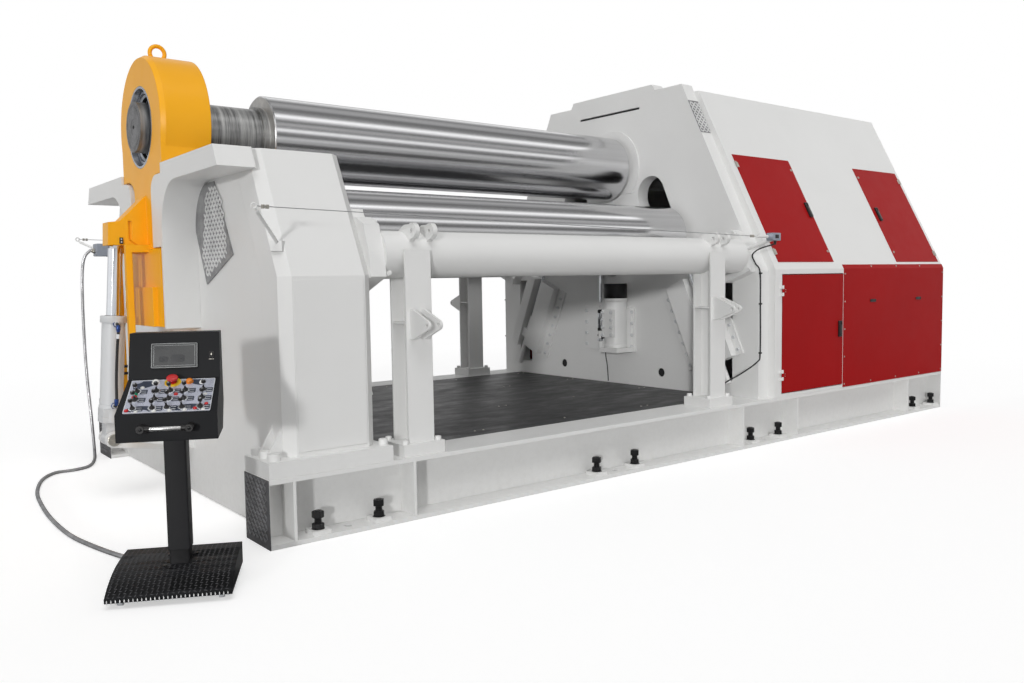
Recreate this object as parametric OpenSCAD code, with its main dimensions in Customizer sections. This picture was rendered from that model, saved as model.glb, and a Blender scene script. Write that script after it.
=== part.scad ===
// Four-roll plate bending machine.
// Millimetres, Z up. Pieces are drawn from the front left foot of the base: X along the rolls towards
// the drive housing, Y from the infeed side to the outfeed side. placed() then moves the origin to the
// middle of the four outer anchor holes, on the floor.

/* [Base] */
// Length of the two main beams
base_len = 6510; // [6300:10:7300]
// Width over the two main beams
base_wid = 3138; // [2940:2:3600]
// Height of a main beam
beam_h = 332; // [280:2:380]
// Flange width of a main beam
beam_w = 292; // [260:2:330]
// Flange thickness of a main beam
beam_flange = 24; // [16:1:32]
// Web thickness of a main beam
beam_web = 16; // [10:1:24]
// Thickness of the deck plate between the frames
deck_t = 12; // [6:1:20]
// Distance of the first anchor hole from the beam's left end
anchor_first = 442; // [400:2:500]
// Distance of the last anchor hole from the beam's right end
anchor_last = 234; // [220:2:300]
// Diameter of the anchor holes
anchor_d = 40; // [24:1:50]
// Spacing of the two leveling bolts on each side of an anchor hole
level_pitch = 340; // [260:5:380]
// Width over the flats of the leveling bolts
level_af = 52; // [40:1:70]

/* [Rolls] */
// Length of the roll bodies
roll_len = 3100; // [2600:10:3300]
// Diameter of the top roll
top_roll_d = 526; // [440:2:540]
// Height of the top roll's axis
top_roll_z = 2166; // [2130:2:2220]
// Diameter of the lower roll
lower_roll_d = 480; // [400:2:490]
// Gap between the top roll and the lower roll
pinch_gap = 30; // [26:1:60]
// Diameter of the two side rolls
side_roll_d = 450; // [380:2:460]
// Distance of a side roll's axis from the middle plane
side_roll_y = 653; // [630:1:700]
// Height of a side roll's axis
side_roll_z = 1574; // [1540:2:1600]
// Lean of the side rolls' guides from upright, in degrees
guide_lean = 24; // [20:1:28]
// Diameter of the lower roll's journals
lower_journal_d = 240; // [200:2:250]
// Diameter of the side rolls' journals
side_journal_d = 176; // [140:2:184]
// Diameter of the top roll's end journals
top_journal_d = 292; // [220:2:300]
// Diameter of the top roll's shaft between its body and the drop end
top_shaft_d = 350; // [310:2:380]
// Clear space between a roll body and the frame plates
roll_side_gap = 48; // [44:1:80]
// Diameter of the chromed lifting rods beside the rolls' journals
lift_rod_d = 28; // [20:1:30]

/* [Left frame] */
// Distance of the left frame's outer wall from the beams' left ends
wall_x = 125; // [110:1:160]
// Depth of the left frame along the rolls
left_frame_t = 495; // [430:5:520]
// Thickness of the left frame's walls
wall_t = 60; // [40:2:80]
// Depth of the left frame's columns across the machine
column_d = 240; // [200:5:260]
// Set-back of the frames' front faces from the beam's face
column_inset = 60; // [40:2:80]
// Height of the knee where the frames' front faces begin to lean
knee_z = 1280; // [1250:2:1310]
// Lean of the frames' front faces from upright, in degrees
face_lean = 26.3; // [22:0.1:28]
// Height of the left frame
left_frame_z = 1920; // [1890:2:1960]
// Width of the bevels along the columns' corners
corner_bevel = 52; // [30:1:60]
// Thickness of the foot plates under the left frame
foot_t = 78; // [60:1:90]

/* [Yoke] */
// How far the yoke stands out from the outer wall
yoke_out = 195; // [170:1:200]
// Half width over the yoke's legs
yoke_half = 380; // [360:1:420]
// Half width of the slot that takes the drop end's neck
slot_half = 206; // [190:1:225]
// Thickness of the yoke's roof
hood_t = 108; // [90:1:120]
// Radius under the yoke's roof
hood_r = 250; // [180:5:260]
// Height of the legs' lower ends
leg_z = 1000; // [960:5:1040]

/* [Drop end] */
// Outer radius of the drop end's head
head_r = 410; // [380:1:425]
// Width of the drop end's head along the rolls
head_t = 277; // [250:1:290]
// Half width of the drop end's neck
neck_half = 162; // [140:1:180]
// Distance of the drop end's hinge from the beams' left ends, outwards
hinge_out = 160; // [150:1:165]
// Height of the drop end's hinge
hinge_z = 400; // [390:2:420]
// Diameter of the drop end's hinge pins
hinge_d = 70; // [50:2:76]
// Distance of the drop cylinder's lower pin from the beams' left ends, outwards
cyl_foot_out = 298; // [290:1:304]
// Height of the drop cylinder's lower pin
cyl_foot_z = 360; // [350:2:370]
// Distance of the drop cylinder's upper pin from the beams' left ends, outwards
cyl_head_out = 216; // [212:1:220]
// Height of the drop cylinder's upper pin
cyl_head_z = 1548; // [1540:1:1556]
// Diameter of the drop cylinder's lower pin
cyl_pin_d = 50; // [40:1:60]
// Outer diameter of the drop cylinder's barrel
barrel_d = 126; // [110:2:140]
// Height of the top of the drop cylinder's barrel
barrel_top_z = 1072; // [1000:2:1100]
// Diameter of the drop cylinder's rod
drop_rod_d = 80; // [60:2:84]

/* [Right frame] */
// Thickness of the right frame plate
right_plate_t = 120; // [90:2:134]
// Height of the right frame plate
right_frame_z = 2755; // [2720:5:2800]
// Height of the raised middle of the right frame plate
right_crown = 50; // [30:1:60]

/* [Tie tubes and posts] */
// Outer diameter of the tie tubes
tube_d = 250; // [200:2:256]
// Wall of the tie tubes
tube_wall = 20; // [10:1:30]
// Distance of a tie tube's axis from the beam's outer face
tube_y = 205; // [200:1:215]
// Height of a tie tube's axis
tube_z = 1390; // [1370:2:1410]
// Size of the posts' H section
post_s = 158; // [140:1:164]
// Flange and web thickness of the posts
post_t = 13; // [10:1:18]
// Height of the posts' front flanges
post_z = 1412; // [1390:2:1430]

/* [Drive housing] */
// Sheet thickness of the drive housing
sheet_t = 6; // [4:0.5:8]
// Height of the drive housing
housing_z = 2705; // [2680:5:2715]
// Lean of the housing's long sides from upright, in degrees
housing_lean = 26.9; // [26:0.1:28]
// Thickness of the doors and bolted panels
door_t = 4; // [3:0.5:6]
// Width of the service doors
door_w = 815; // [700:5:850]
// Width of the upper doors
upper_door_w = 740; // [600:5:760]

/* [Console] */
// Width of the console's desk
desk_w = 374; // [350:2:400]
// Size of the console's post
console_post = 87; // [70:1:100]
// Turn of the console towards the operator, in degrees
console_turn = -27; // [-40:1:0]

/* [Fits] */
// Running clearance on the radius of a hinge pin
pin_fit = 0.05; // [0.02:0.01:0.1]
// Clearance between pieces that slide or swing past each other
run_gap = 8; // [6:1:10]
// Clearance around the journal in the drop end's bearing, which frees it as the head tilts
swing_gap = 30; // [28:1:36]

/* [Hidden] */
$fn = 96;
mid = base_wid / 2;
origin_x = (anchor_first + base_len - anchor_last) / 2;
anchor_y = 70;
frame_x1 = wall_x + left_frame_t;
roll_x0 = frame_x1 + roll_side_gap;
roll_x1 = roll_x0 + roll_len;
plate_x0 = roll_x1 + roll_side_gap;
plate_x1 = plate_x0 + right_plate_t;
station_x = [anchor_first, 2333, plate_x0 + 82, base_len - anchor_last];
rib_x = [130, 800, plate_x0 - 246, plate_x0 + 424, base_len - 590];
foot_z = beam_h + foot_t;
lower_roll_z = top_roll_z - top_roll_d / 2 - pinch_gap - lower_roll_d / 2;
side_slot_r = side_journal_d / 2 + 58;
lower_slot_r = lower_journal_d / 2 + 30;
side_off = 40;
side_block_l = 50;
lower_block_l = 40;
side_travel = [-100, 345];
lower_travel = [-180, 15];
white = [0.93, 0.93, 0.92];
yellow = [0.99, 0.70, 0.11];
red = [0.57, 0.08, 0.09];
black = [0.09, 0.09, 0.10];
steel = [0.72, 0.72, 0.73];
chrome = [0.85, 0.86, 0.88];

// Hairline between plates that are welded or laid on each other
seam = 0.02;

// ---- placing ----
module placed() { translate([-origin_x, -mid, 0]) children(); }
module mirrored() { translate([0, base_wid, 0]) mirror([0, 1, 0]) children(); }
module both() { children(); mirrored() children(); }
// A profile drawn in Y and Z, from x0 to x1
module along_x(x0, x1) { translate([x0, 0, 0]) rotate([90, 0, 90]) linear_extrude(x1 - x0) children(); }
// A profile drawn in X and Z, from y0 to y1
module along_y(y0, y1) { translate([0, y1, 0]) rotate([90, 0, 0]) linear_extrude(y1 - y0) children(); }
module rod_x(x0, x1, d) { translate([x0, 0, 0]) rotate([0, 90, 0]) cylinder(h = x1 - x0, d = d); }
module rod_y(y0, y1, d) { translate([0, y0, 0]) rotate([-90, 0, 0]) cylinder(h = y1 - y0, d = d); }

// Y of a leaning face at height z, whose foot is at y0
function lean_y(y0, z, lean) = y0 + max(0, z - knee_z) * tan(lean);
frame_ridge_y = lean_y(column_inset, left_frame_z, face_lean);
right_ridge_y = lean_y(column_inset, right_frame_z, face_lean);
housing_ridge_y = lean_y(0, housing_z, housing_lean);

// ---- base ----
pad_t = 20;
pad_s = 96;
pad_y = 12;
cover_t = 6;
rib_t = 16;
web_y = (beam_w - beam_web) / 2;
inside_h = beam_h - 2 * beam_flange;
level_shank = level_af * 0.7;
level_nut_h = 28;
level_head = [98, 132];
level_len = level_head[1] + 4;
rear_members = [320, 330, 30];
member_foot = 40;
// An I beam of welded plates: two flanges, a web, and ribs on both sides of the web
module main_beam() {
    l = base_len - 2 * cover_t;
    difference() {
        union() {
            translate([cover_t, 0, 0]) cube([l, beam_w, beam_flange]);
            for (x = station_x, s = [-1, 1])
                translate([x + s * level_pitch / 2 - pad_s / 2, pad_y, beam_flange - 1])
                    cube([pad_s, pad_s, pad_t + 1]);
        }
        for (x = station_x) {
            translate([x, anchor_y, -1]) cylinder(h = beam_flange + 2, d = anchor_d);
            for (s = [-1, 1]) translate([x + s * level_pitch / 2, pad_y + pad_s / 2, -1])
                cylinder(h = beam_flange + pad_t + 2, d = level_shank + 2);
        }
    }
    translate([cover_t, 0, beam_h - beam_flange]) cube([l, beam_w, beam_flange]);
    translate([cover_t, web_y, beam_flange + seam]) cube([l, beam_web, inside_h - 2 * seam]);
    for (x = rib_x, y = [0, web_y + beam_web + seam])
        translate([x - rib_t / 2, y, beam_flange + seam]) cube([rib_t, web_y - seam, inside_h - 2 * seam]);
}
module main_beams() { color(white) placed() both() main_beam(); }

under_frames = [[wall_x + wall_t, frame_x1], [plate_x0, plate_x0 + rear_members[0]],
                [base_len - rear_members[1], base_len - rear_members[2]]];
under_deck = [[1560, 1680], [2640, 2760]];
module cross_member(x, top) {
    translate([x[0], beam_w, member_foot])
        cube([x[1] - x[0], base_wid - 2 * beam_w, top - member_foot]);
}
module cross_members() {
    color(white) placed() {
        for (x = under_frames) cross_member(x, beam_h);
        for (x = under_deck) cross_member(x, beam_h - deck_t);
    }
}
module deck() {
    color([0.18, 0.18, 0.19]) placed() translate([frame_x1, beam_w, beam_h - deck_t])
        cube([plate_x0 - frame_x1, base_wid - 2 * beam_w, deck_t]);
}
module leveling_bolt() {
    cylinder(h = level_len, d = level_shank);
    translate([0, 0, beam_flange + pad_t]) cylinder(h = level_nut_h, d = level_af / cos(30), $fn = 6);
    translate([0, 0, level_head[0]])
        cylinder(h = level_head[1] - level_head[0], d = level_af / cos(30), $fn = 6);
}
module leveling_bolts() {
    color(black) placed() both() for (x = station_x, s = [-1, 1])
        translate([x + s * level_pitch / 2, pad_y + pad_s / 2, 0]) leveling_bolt();
}
module beam_end_covers() {
    color([0.3, 0.3, 0.31]) placed() both() for (x = [0, base_len - cover_t])
        translate([x, 0, 0]) cube([cover_t, beam_w, beam_h]);
}

// ---- left frame ----
foot_w = column_inset + column_d;
foot_x = [8, frame_x1 + 55];
foot_y = 4;
foot_screws = [66, 166, 266];
foot_screw_x = 62;
foot_screw_d = 62;
wall_screw = [foot_x[1] - 27, 60];
wall_screw_d = 46;
screw_h = 33;
gussets = [116, 216];
gusset_t = 14;
gusset_x = 44;
gusset_h = 145;
// Foot plate with two gussets against the column and cap screws beside them
module foot() {
    translate([foot_x[0], foot_y, beam_h]) cube([foot_x[1] - foot_x[0], foot_w - foot_y, foot_t]);
    for (y = foot_screws) translate([foot_screw_x, y, foot_z - 1]) cylinder(h = screw_h, d = foot_screw_d);
    translate([wall_screw[0], wall_screw[1], foot_z - 1]) cylinder(h = screw_h, d = wall_screw_d);
    for (y = gussets) along_y(y, y + gusset_t)
        polygon([[gusset_x, foot_z - 1], [wall_x + 1, foot_z - 1], [wall_x + 1, foot_z + gusset_h]]);
}
// A bevelled column that stands up to the knee and then leans back to the roof
module column_section() {
    b = corner_bevel;
    polygon([[0, column_d], [0, b], [b, 0], [left_frame_t - b, 0], [left_frame_t, b],
             [left_frame_t, column_d]]);
}
module leaning(lean) {
    multmatrix([[1, 0, 0, 0], [0, 1, tan(lean), 0], [0, 0, 1, 0], [0, 0, 0, 1]]) children();
}
module column_shape() {
    translate([0, column_inset, foot_z]) linear_extrude(knee_z - foot_z) column_section();
    translate([0, column_inset, knee_z]) leaning(face_lean)
        linear_extrude(left_frame_z - knee_z) column_section();
}
module left_columns() {
    color(white) placed() both() {
        translate([wall_x, 0, 0]) column_shape();
        foot();
    }
}

// Outline of the walls between the two columns
column_back = column_inset + column_d;
wall_foot = 6;
module between_columns(z0, z1) {
    a = column_back;
    c = lean_y(a, z1, face_lean);
    polygon([[a, z0], [base_wid - a, z0], [base_wid - a, knee_z], [base_wid - c, z1], [c, z1], [a, knee_z]]);
}
module left_outer_wall() {
    color(white) placed() {
        along_x(wall_x, wall_x + wall_t) difference() {
            between_columns(beam_h, left_frame_z);
            translate([mid - notch_half, head_flat_z - run_gap]) square([2 * notch_half, 200]);
            for (s = [-1, 1]) translate([mid, 0]) scale([s, 1]) mouth(head_flat_z - run_gap);
        }
        translate([wall_x, beam_w, wall_foot]) cube([wall_t, base_wid - 2 * beam_w, beam_h - wall_foot]);
    }
}
// A slot with round ends along a guide: (y, z) is the roll's axis at rest, off the slot's offset from it
// across the guide, t0 and t1 the centres of its ends along the guide
module guide_slot(y, z, lean, off, t0, t1, r) {
    translate([y, z]) rotate(-lean) {
        translate([off - r, t0]) square([2 * r, t1 - t0]);
        translate([off, t0]) circle(r);
        translate([off, t1]) circle(r);
    }
}
module roll_slots() {
    guide_slot(mid, lower_roll_z, 0, 0, lower_travel[0] - lower_block_l - run_gap,
               lower_travel[1] + lower_block_l + run_gap, lower_slot_r);
    guide_slot(mid - side_roll_y, side_roll_z, guide_lean, side_off, side_travel[0] - side_block_l - run_gap,
               side_travel[1] + side_block_l + run_gap, side_slot_r);
    translate([base_wid, 0]) mirror([1, 0])
        guide_slot(mid - side_roll_y, side_roll_z, guide_lean, side_off,
                   side_travel[0] - side_block_l - run_gap, side_travel[1] + side_block_l + run_gap,
                   side_slot_r);
}
module left_inner_wall() {
    color(white) placed() along_x(frame_x1 - wall_t, frame_x1) difference() {
        between_columns(beam_h, left_frame_z);
        roll_slots();
    }
}
// Near edge of a side roll's slot at height z, where the roof must stay open for the roll's journal
function slot_edge(z) = mid - side_roll_y + (z - side_roll_z) * tan(guide_lean)
    + (side_off - side_slot_r) / cos(guide_lean);
module left_roof() {
    c = lean_y(column_back, left_frame_z, face_lean);
    color(white) placed() both() translate([wall_x + wall_t, c, left_frame_z - wall_t])
        cube([left_frame_t - 2 * wall_t, slot_edge(left_frame_z - wall_t) - run_gap - c, wall_t]);
}

// ---- yoke on the outer wall ----
yoke_x0 = wall_x - yoke_out;
hood_over = 14;
head_flat_z = 1872;
shoulder_half = 382;
notch_half = shoulder_half + run_gap;
fillet = [98, 92];
neck_foot_z = 1452;
block_half = 347;
block_notch = block_half + run_gap;
block_lead = 36;
module yoke_profile() {
    under = left_frame_z - hood_t;
    lean = tan(face_lean);
    top_half = mid - frame_ridge_y + hood_over;
    low_half = top_half + hood_t * lean;
    difference() {
        union() {
            polygon([[-top_half, left_frame_z], [-low_half, under], [low_half, under],
                     [top_half, left_frame_z]]);
            translate([-yoke_half - hood_r, under - hood_r]) square([2 * (yoke_half + hood_r), hood_r + 1]);
            translate([-yoke_half, leg_z]) square([2 * yoke_half, under - leg_z]);
        }
        for (s = [-1, 1]) translate([s * (yoke_half + hood_r), under - hood_r]) circle(hood_r);
        translate([-notch_half, head_flat_z - run_gap]) square([2 * notch_half, 200]);
        translate([-slot_half, leg_z - 1]) square([2 * slot_half, 1000]);
        for (s = [-1, 1]) scale([s, 1]) mouth(head_flat_z - run_gap);
        translate([-block_notch, leg_z - 1]) square([2 * block_notch, neck_foot_z + run_gap - leg_z + 1]);
    }
}
// The rounded mouth of the yoke's slot, below the head's shoulder at height z
module mouth(z) {
    translate([slot_half - 1, z - fillet[1]]) difference() {
        square([fillet[0] + 1, fillet[1] + 1]);
        translate([fillet[0] + 1, 0]) scale([fillet[0] / fillet[1], 1]) circle(fillet[1]);
    }
}
module yoke() { color(white) placed() along_x(yoke_x0, wall_x) translate([mid, 0]) yoke_profile(); }

// Checker plate covers on the outer wall and over the right frame plate's leaning edges
wall_cover = [[mid - 689, 1800], [mid - 924, 1400], [mid - 524, 1246], [mid - 329, 1650], [mid - 449, 1800]];
wall_cover_t = 8;
strip_z = 2357;
strip_l = 290;
strip_t = 5;
module checker_covers() {
    big = 1000;
    color([0.75, 0.75, 0.76]) placed() both() {
        along_x(wall_x - wall_cover_t, wall_x) intersection() {
            polygon(wall_cover);
            translate([mid - yoke_half - hood_r, left_frame_z - hood_t - hood_r]) {
                circle(hood_r);
                translate([-big, -big]) square([big + hood_r, big]);
                translate([-big, -big]) square([big, 2 * big]);
            }
        }
        translate([plate_x0 - 3, lean_y(column_inset, strip_z, face_lean), strip_z]) rotate([-face_lean, 0, 0])
            translate([0, -strip_t - seam, 0]) cube([plate_x1 - plate_x0 - 5, strip_t, strip_l]);
    }
}
// Slanted guard blocks on the inner bevels of the two columns
guard_x1 = frame_x1 + 72;
guard_y = [115, 175];
guard_h = 350;
module guard_profile() {
    lean = guard_h * tan(face_lean);
    polygon([[guard_y[0], knee_z], [guard_y[1], knee_z], [guard_y[1] + lean, knee_z + guard_h],
             [guard_y[0] + lean, knee_z + guard_h]]);
}
module left_guards() { color(white) placed() both() along_x(frame_x1, guard_x1) guard_profile(); }

// ---- drop end ----
hinge_x = -hinge_out;
strap_half = [91, 129];
lug_r = 60;
cheek_half = [strap_half[0] - run_gap - 31, strap_half[0] - run_gap];
outer_cheek = [strap_half[1] + run_gap, strap_half[1] + run_gap + 36];
module drop_brackets() {
    color(white) placed() translate([0, mid, 0]) {
        for (s = [-1, 1]) scale([1, s, 1]) {
            // one cheek carries both the hinge and the cylinder's foot
            along_y(cheek_half[0], cheek_half[1]) union() {
                translate([hinge_x, hinge_z]) circle(lug_r);
                translate([-cyl_foot_out, cyl_foot_z]) circle(46);
                polygon([[wall_x, 250], [wall_x, 540], [hinge_x, hinge_z + lug_r], [hinge_x - 46, hinge_z + 10],
                         [-cyl_foot_out, cyl_foot_z + 46], [-cyl_foot_out - 46, cyl_foot_z],
                         [-cyl_foot_out, cyl_foot_z - 46]]);
            }
            along_y(outer_cheek[0], outer_cheek[1]) union() {
                translate([hinge_x, hinge_z]) circle(lug_r);
                polygon([[wall_x, 270], [wall_x, 530], [hinge_x, hinge_z + lug_r], [hinge_x, hinge_z - lug_r]]);
            }
            translate([hinge_x, 0, hinge_z]) rod_y(cheek_half[0], outer_cheek[1], hinge_d);
        }
        translate([-cyl_foot_out, 0, cyl_foot_z]) rod_y(-cheek_half[1], cheek_half[1], cyl_pin_d);
    }
}
head_x0 = -57;
head_x1 = head_x0 + head_t;
head_edge = 26;
bearing_r = 236;
block_x0 = yoke_x0 - 5;
boss_x0 = block_x0 - 26;
strap_x = [-200, -165];
bridge_x = strap_x[1] + 16;
boss_half = 262;
boss_h = 225;
wing_half = 60;
wing_x0 = -270;
wing_z = [1478, 1617];
wing_root_z = 1770;
wing_step = 40;
strap_knee_z = [560, 540];
shoulder_in = 90;
pocket_half = 42;
rod_tongue = 44;
rod_cross_d = 30;
eye_play = 19;
slot_skin = 6;
module head_profile() {
    intersection() {
        translate([0, top_roll_z]) circle(head_r);
        translate([-head_r, head_flat_z]) square([2 * head_r, 2 * head_r]);
    }
    translate([-shoulder_half, head_flat_z]) square([2 * shoulder_half, top_roll_z - head_flat_z - shoulder_in]);
}
// The undercut between the head's shoulder and the neck
module arm_fillet() {
    w = slot_half - run_gap - neck_half + fillet[0];
    translate([neck_half - 1, head_flat_z - fillet[1]]) difference() {
        square([w, fillet[1] + 1]);
        translate([w, 0]) scale([(w - 1) / fillet[1], 1]) circle(fillet[1]);
    }
}
// Wing plate, bridge and strap in one outline
module wing_outline() {
    polygon([[wing_x0 - 6, wing_z[0]], [wing_x0, wing_z[1] - 8], [strap_x[0] - 6, wing_z[1]],
             [head_x0 + 1, wing_root_z], [head_x0 + 1, wing_z[0] - wing_step], [bridge_x, wing_z[0] - wing_step],
             [bridge_x, wing_z[0]]]);
}
module strap_outline() {
    translate([hinge_x, hinge_z]) circle(lug_r);
    polygon([[strap_x[0], wing_z[0] + 1], [strap_x[0], strap_knee_z[0]], [hinge_x - lug_r, hinge_z],
             [hinge_x + lug_r, hinge_z], [strap_x[1], strap_knee_z[1]], [strap_x[1], wing_z[0] - wing_step - 2],
             [head_x0, wing_z[0] - wing_step - 2], [head_x0, wing_z[0] + 1]]);
}
module drop_end() {
    color(yellow) placed() translate([0, mid, 0]) difference() {
        union() {
            // head, with a bevel around its outer face
            along_x(head_x0 + head_edge, head_x1) head_profile();
            intersection() {
                translate([head_x0, 0, top_roll_z]) rotate([0, 90, 0])
                    cylinder(h = head_edge + 1, r1 = head_r - head_edge * 0.6, r2 = head_r, $fn = 144);
                translate([head_x0, -head_r, head_flat_z]) cube(2 * head_r);
            }
            along_x(head_x0, head_x0 + head_edge + 1) translate([-shoulder_half, head_flat_z])
                square([2 * shoulder_half, top_roll_z - head_flat_z - shoulder_in]);
            // neck
            along_x(head_x0, wall_x - run_gap) {
                translate([-neck_half, leg_z + 20]) square([2 * neck_half, head_flat_z - leg_z - 10]);
                for (s = [-1, 1]) scale([s, 1]) arm_fillet();
            }
            // block between the yoke's legs, its top sloped so that it clears them as it swings out
            along_y(-block_half, block_half)
                polygon([[block_x0, leg_z + 10], [wall_x - run_gap, leg_z + 10],
                         [wall_x - run_gap, neck_foot_z - block_lead], [block_x0 + 14, neck_foot_z],
                         [block_x0, neck_foot_z]]);
            along_x(boss_x0, block_x0 + 1) translate([-boss_half, leg_z + 10])
                square([2 * boss_half, boss_h]);
            // wing that takes the cylinder's rod, and the straps down to the hinge
            along_y(-wing_half, wing_half) wing_outline();
            for (s = [-1, 1]) scale([1, s, 1]) along_y(strap_half[0], strap_half[1]) strap_outline();
        }
        translate([0, 0, top_roll_z]) rod_x(head_x0 - 1, head_x1 + 1, 2 * bearing_r);
        for (s = [-1, 1]) scale([1, s, 1]) {
            translate([hinge_x, 0, hinge_z]) rod_y(strap_half[0] - 1, strap_half[1] + 1, hinge_d + 2 * pin_fit);
            // recesses in the wing's sides
            translate([-160, wing_half - 10, 1513]) cube([18, 11, 105]);
            translate([-158, wing_half - 6, 1506]) rotate([0, 38, 0]) cube([100, 7, 6]);
        }
        // pocket for the rod's end, and the blind slots its cross pin runs in
        translate([-cyl_head_out, 0, cyl_head_z]) {
            translate([-pocket_x, -pocket_half, -100])
                cube([2 * pocket_x, 2 * pocket_half, 100 + rod_end_up + 12]);
            translate([-rod_cross_d / 2 - eye_play, -wing_half + slot_skin, -rod_cross_d / 2 - 6])
                cube([rod_cross_d + 2 * eye_play, 2 * (wing_half - slot_skin), rod_cross_d + 14]);
        }
    }
}
rod_end_up = 24;
pocket_x = rod_tongue / 2 + eye_play + 4;
eye_r = 42;
eye_bar = 24;
eye_collar_d = 58;
eye_at = [(head_x0 + head_x1) / 2 - 20, top_roll_z + head_r + 32];
module lifting_eye() {
    color(yellow) placed() translate([eye_at[0], mid, 0]) difference() {
        union() {
            translate([0, 0, eye_at[1]]) rotate([90, 0, 0]) rotate_extrude()
                translate([eye_r, 0]) circle(d = eye_bar, $fn = 32);
            translate([0, 0, top_roll_z + head_r - 30]) cylinder(h = 34, d = eye_collar_d);
        }
        translate([0, 0, top_roll_z]) rod_x(-100, 100, 2 * head_r);
    }
}
ring_x = [-35, 120];
module drop_bearing() {
    color(steel) placed() translate([0, mid, top_roll_z]) difference() {
        rod_x(ring_x[0], ring_x[1], 2 * bearing_r);
        rod_x(ring_x[0] - 1, ring_x[1] + 1, top_journal_d + 2 * swing_gap);
        // the flared mouth
        translate([ring_x[0] - 1, 0, 0]) rotate([0, 90, 0])
            cylinder(h = 46, r1 = bearing_r - 12, r2 = top_journal_d / 2 + swing_gap);
    }
}
// ---- drop cylinder, drawn upright over its lower pin and then leaned ----
cyl_run = [cyl_foot_out - cyl_head_out, cyl_head_z - cyl_foot_z];
cyl_lean = atan2(cyl_run[0], cyl_run[1]);
cyl_len = norm(cyl_run);
barrel_l = (barrel_top_z - cyl_foot_z) / cos(cyl_lean);
barrel_base = [96, 178];
rod_l0 = 330;
port_l = [barrel_l - 46, 196];
module along_cylinder() { translate([-cyl_foot_out, mid, cyl_foot_z]) rotate([0, cyl_lean, 0]) children(); }
module drop_barrel() {
    color([0.78, 0.79, 0.80]) placed() along_cylinder() difference() {
        union() {
            translate([0, 0, barrel_base[0]]) cylinder(h = barrel_l - barrel_base[0], d = barrel_d);
            translate([-58, -56, barrel_base[0]]) cube([116, 112, barrel_base[1] - barrel_base[0]]);
            rod_y(-44, 44, 88);
            translate([-38, -44, 0]) cube([76, 88, barrel_base[0] + 1]);
            for (z = port_l) translate([0, 0, z]) rod_y(-80, -barrel_d / 2 + 12, 30);
        }
        rod_y(-45, 45, cyl_pin_d + 2 * pin_fit);
        translate([0, 0, barrel_base[0] + 20]) cylinder(h = 1000, d = drop_rod_d + 2 * run_gap);
    }
}
module drop_rod() {
    top = cyl_len - 88;
    color(chrome) placed() along_cylinder() union() {
        translate([0, 0, rod_l0]) cylinder(h = top - rod_l0, d = drop_rod_d);
        translate([-rod_tongue / 2, -pocket_half + 5, top - 1])
            cube([rod_tongue, 2 * pocket_half - 10, cyl_len - top + rod_end_up]);
        translate([0, 0, cyl_len]) rod_y(-wing_half + slot_skin + 3, wing_half - slot_skin - 3, rod_cross_d);
    }
}

// ---- rolls ----
module roll_body(d, x0, x1, jd) {
    c = 8;
    translate([roll_x0, 0, 0]) rotate([0, 90, 0]) {
        cylinder(h = c, d1 = d - 2 * c, d2 = d);
        translate([0, 0, c]) cylinder(h = roll_len - 2 * c, d = d);
        translate([0, 0, roll_len - c]) cylinder(h = c, d1 = d, d2 = d - 2 * c);
    }
    rod_x(x0, x1, jd);
}
top_end_x = -91;
module top_roll() {
    color(steel) placed() translate([0, mid, top_roll_z]) union() {
        roll_body(top_roll_d, top_end_x, plate_x1 + 500, top_journal_d);
        rod_x(head_x1 + 22, roll_x0 - 40, top_shaft_d);
        rod_x(roll_x0 - 41, roll_x0, top_shaft_d + 30);
    }
}
journal_x0 = wall_x + wall_t + 60;
journal_x1 = plate_x1 + 300;
module lower_roll() {
    color(steel) placed() translate([0, mid, lower_roll_z])
        roll_body(lower_roll_d, journal_x0, journal_x1, lower_journal_d);
}
module side_roll() {
    translate([0, mid - side_roll_y, side_roll_z])
        roll_body(side_roll_d, journal_x0, journal_x1, side_journal_d);
}
module front_roll() { color(steel) placed() side_roll(); }
module back_roll() { color(steel) placed() mirrored() side_roll(); }

// Bearing blocks that slide in the frames' slots, with the chromed rods that lift them
rod_x_left = frame_x1 + roll_side_gap / 2;
rod_x_right = plate_x0 - roll_side_gap / 2;
block_out = roll_side_gap - run_gap;
module block_profile(off, l, r) {
    translate([off - r, -l]) square([2 * r, 2 * l]);
    for (s = [-1, 1]) translate([off, s * l]) circle(r);
}
// off, l, r: the block's profile; jd: its journal; rod_y, rod_z: place and ends of the rods below it
module roll_bearings(off, l, r, jd, rod_at, rod_z) {
    difference() {
        union() {
            along_x(frame_x1 - wall_t - 30, frame_x1 + block_out) block_profile(off, l, r);
            along_x(plate_x0 - block_out, plate_x1 + 40) block_profile(off, l, r);
            for (x = [rod_x_left, rod_x_right]) translate([x, rod_at, rod_z[0]])
                cylinder(h = rod_z[1] - rod_z[0], d = lift_rod_d, $fn = 48);
        }
        rod_x(frame_x1 - wall_t - 31, plate_x1 + 41, jd + 2 * pin_fit);
    }
}
side_rod_at = -side_journal_d / 2 - 2;
side_rod_z = [-1170, -side_block_l - 10];
lower_rod_at = lower_journal_d / 2;
lower_rod_z = [-600, -lower_block_l - 60];
module lower_bearings() {
    color(chrome) placed() translate([0, mid, lower_roll_z])
        roll_bearings(0, lower_block_l, lower_slot_r - run_gap, lower_journal_d, lower_rod_at, lower_rod_z);
}
module side_bearings() {
    translate([0, mid - side_roll_y, side_roll_z]) rotate([-guide_lean, 0, 0])
        roll_bearings(side_off, side_block_l, side_slot_r - run_gap, side_journal_d, side_rod_at, side_rod_z);
}
module front_bearings() { color(chrome) placed() side_bearings(); }
module back_bearings() { color(chrome) placed() mirrored() side_bearings(); }

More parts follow.
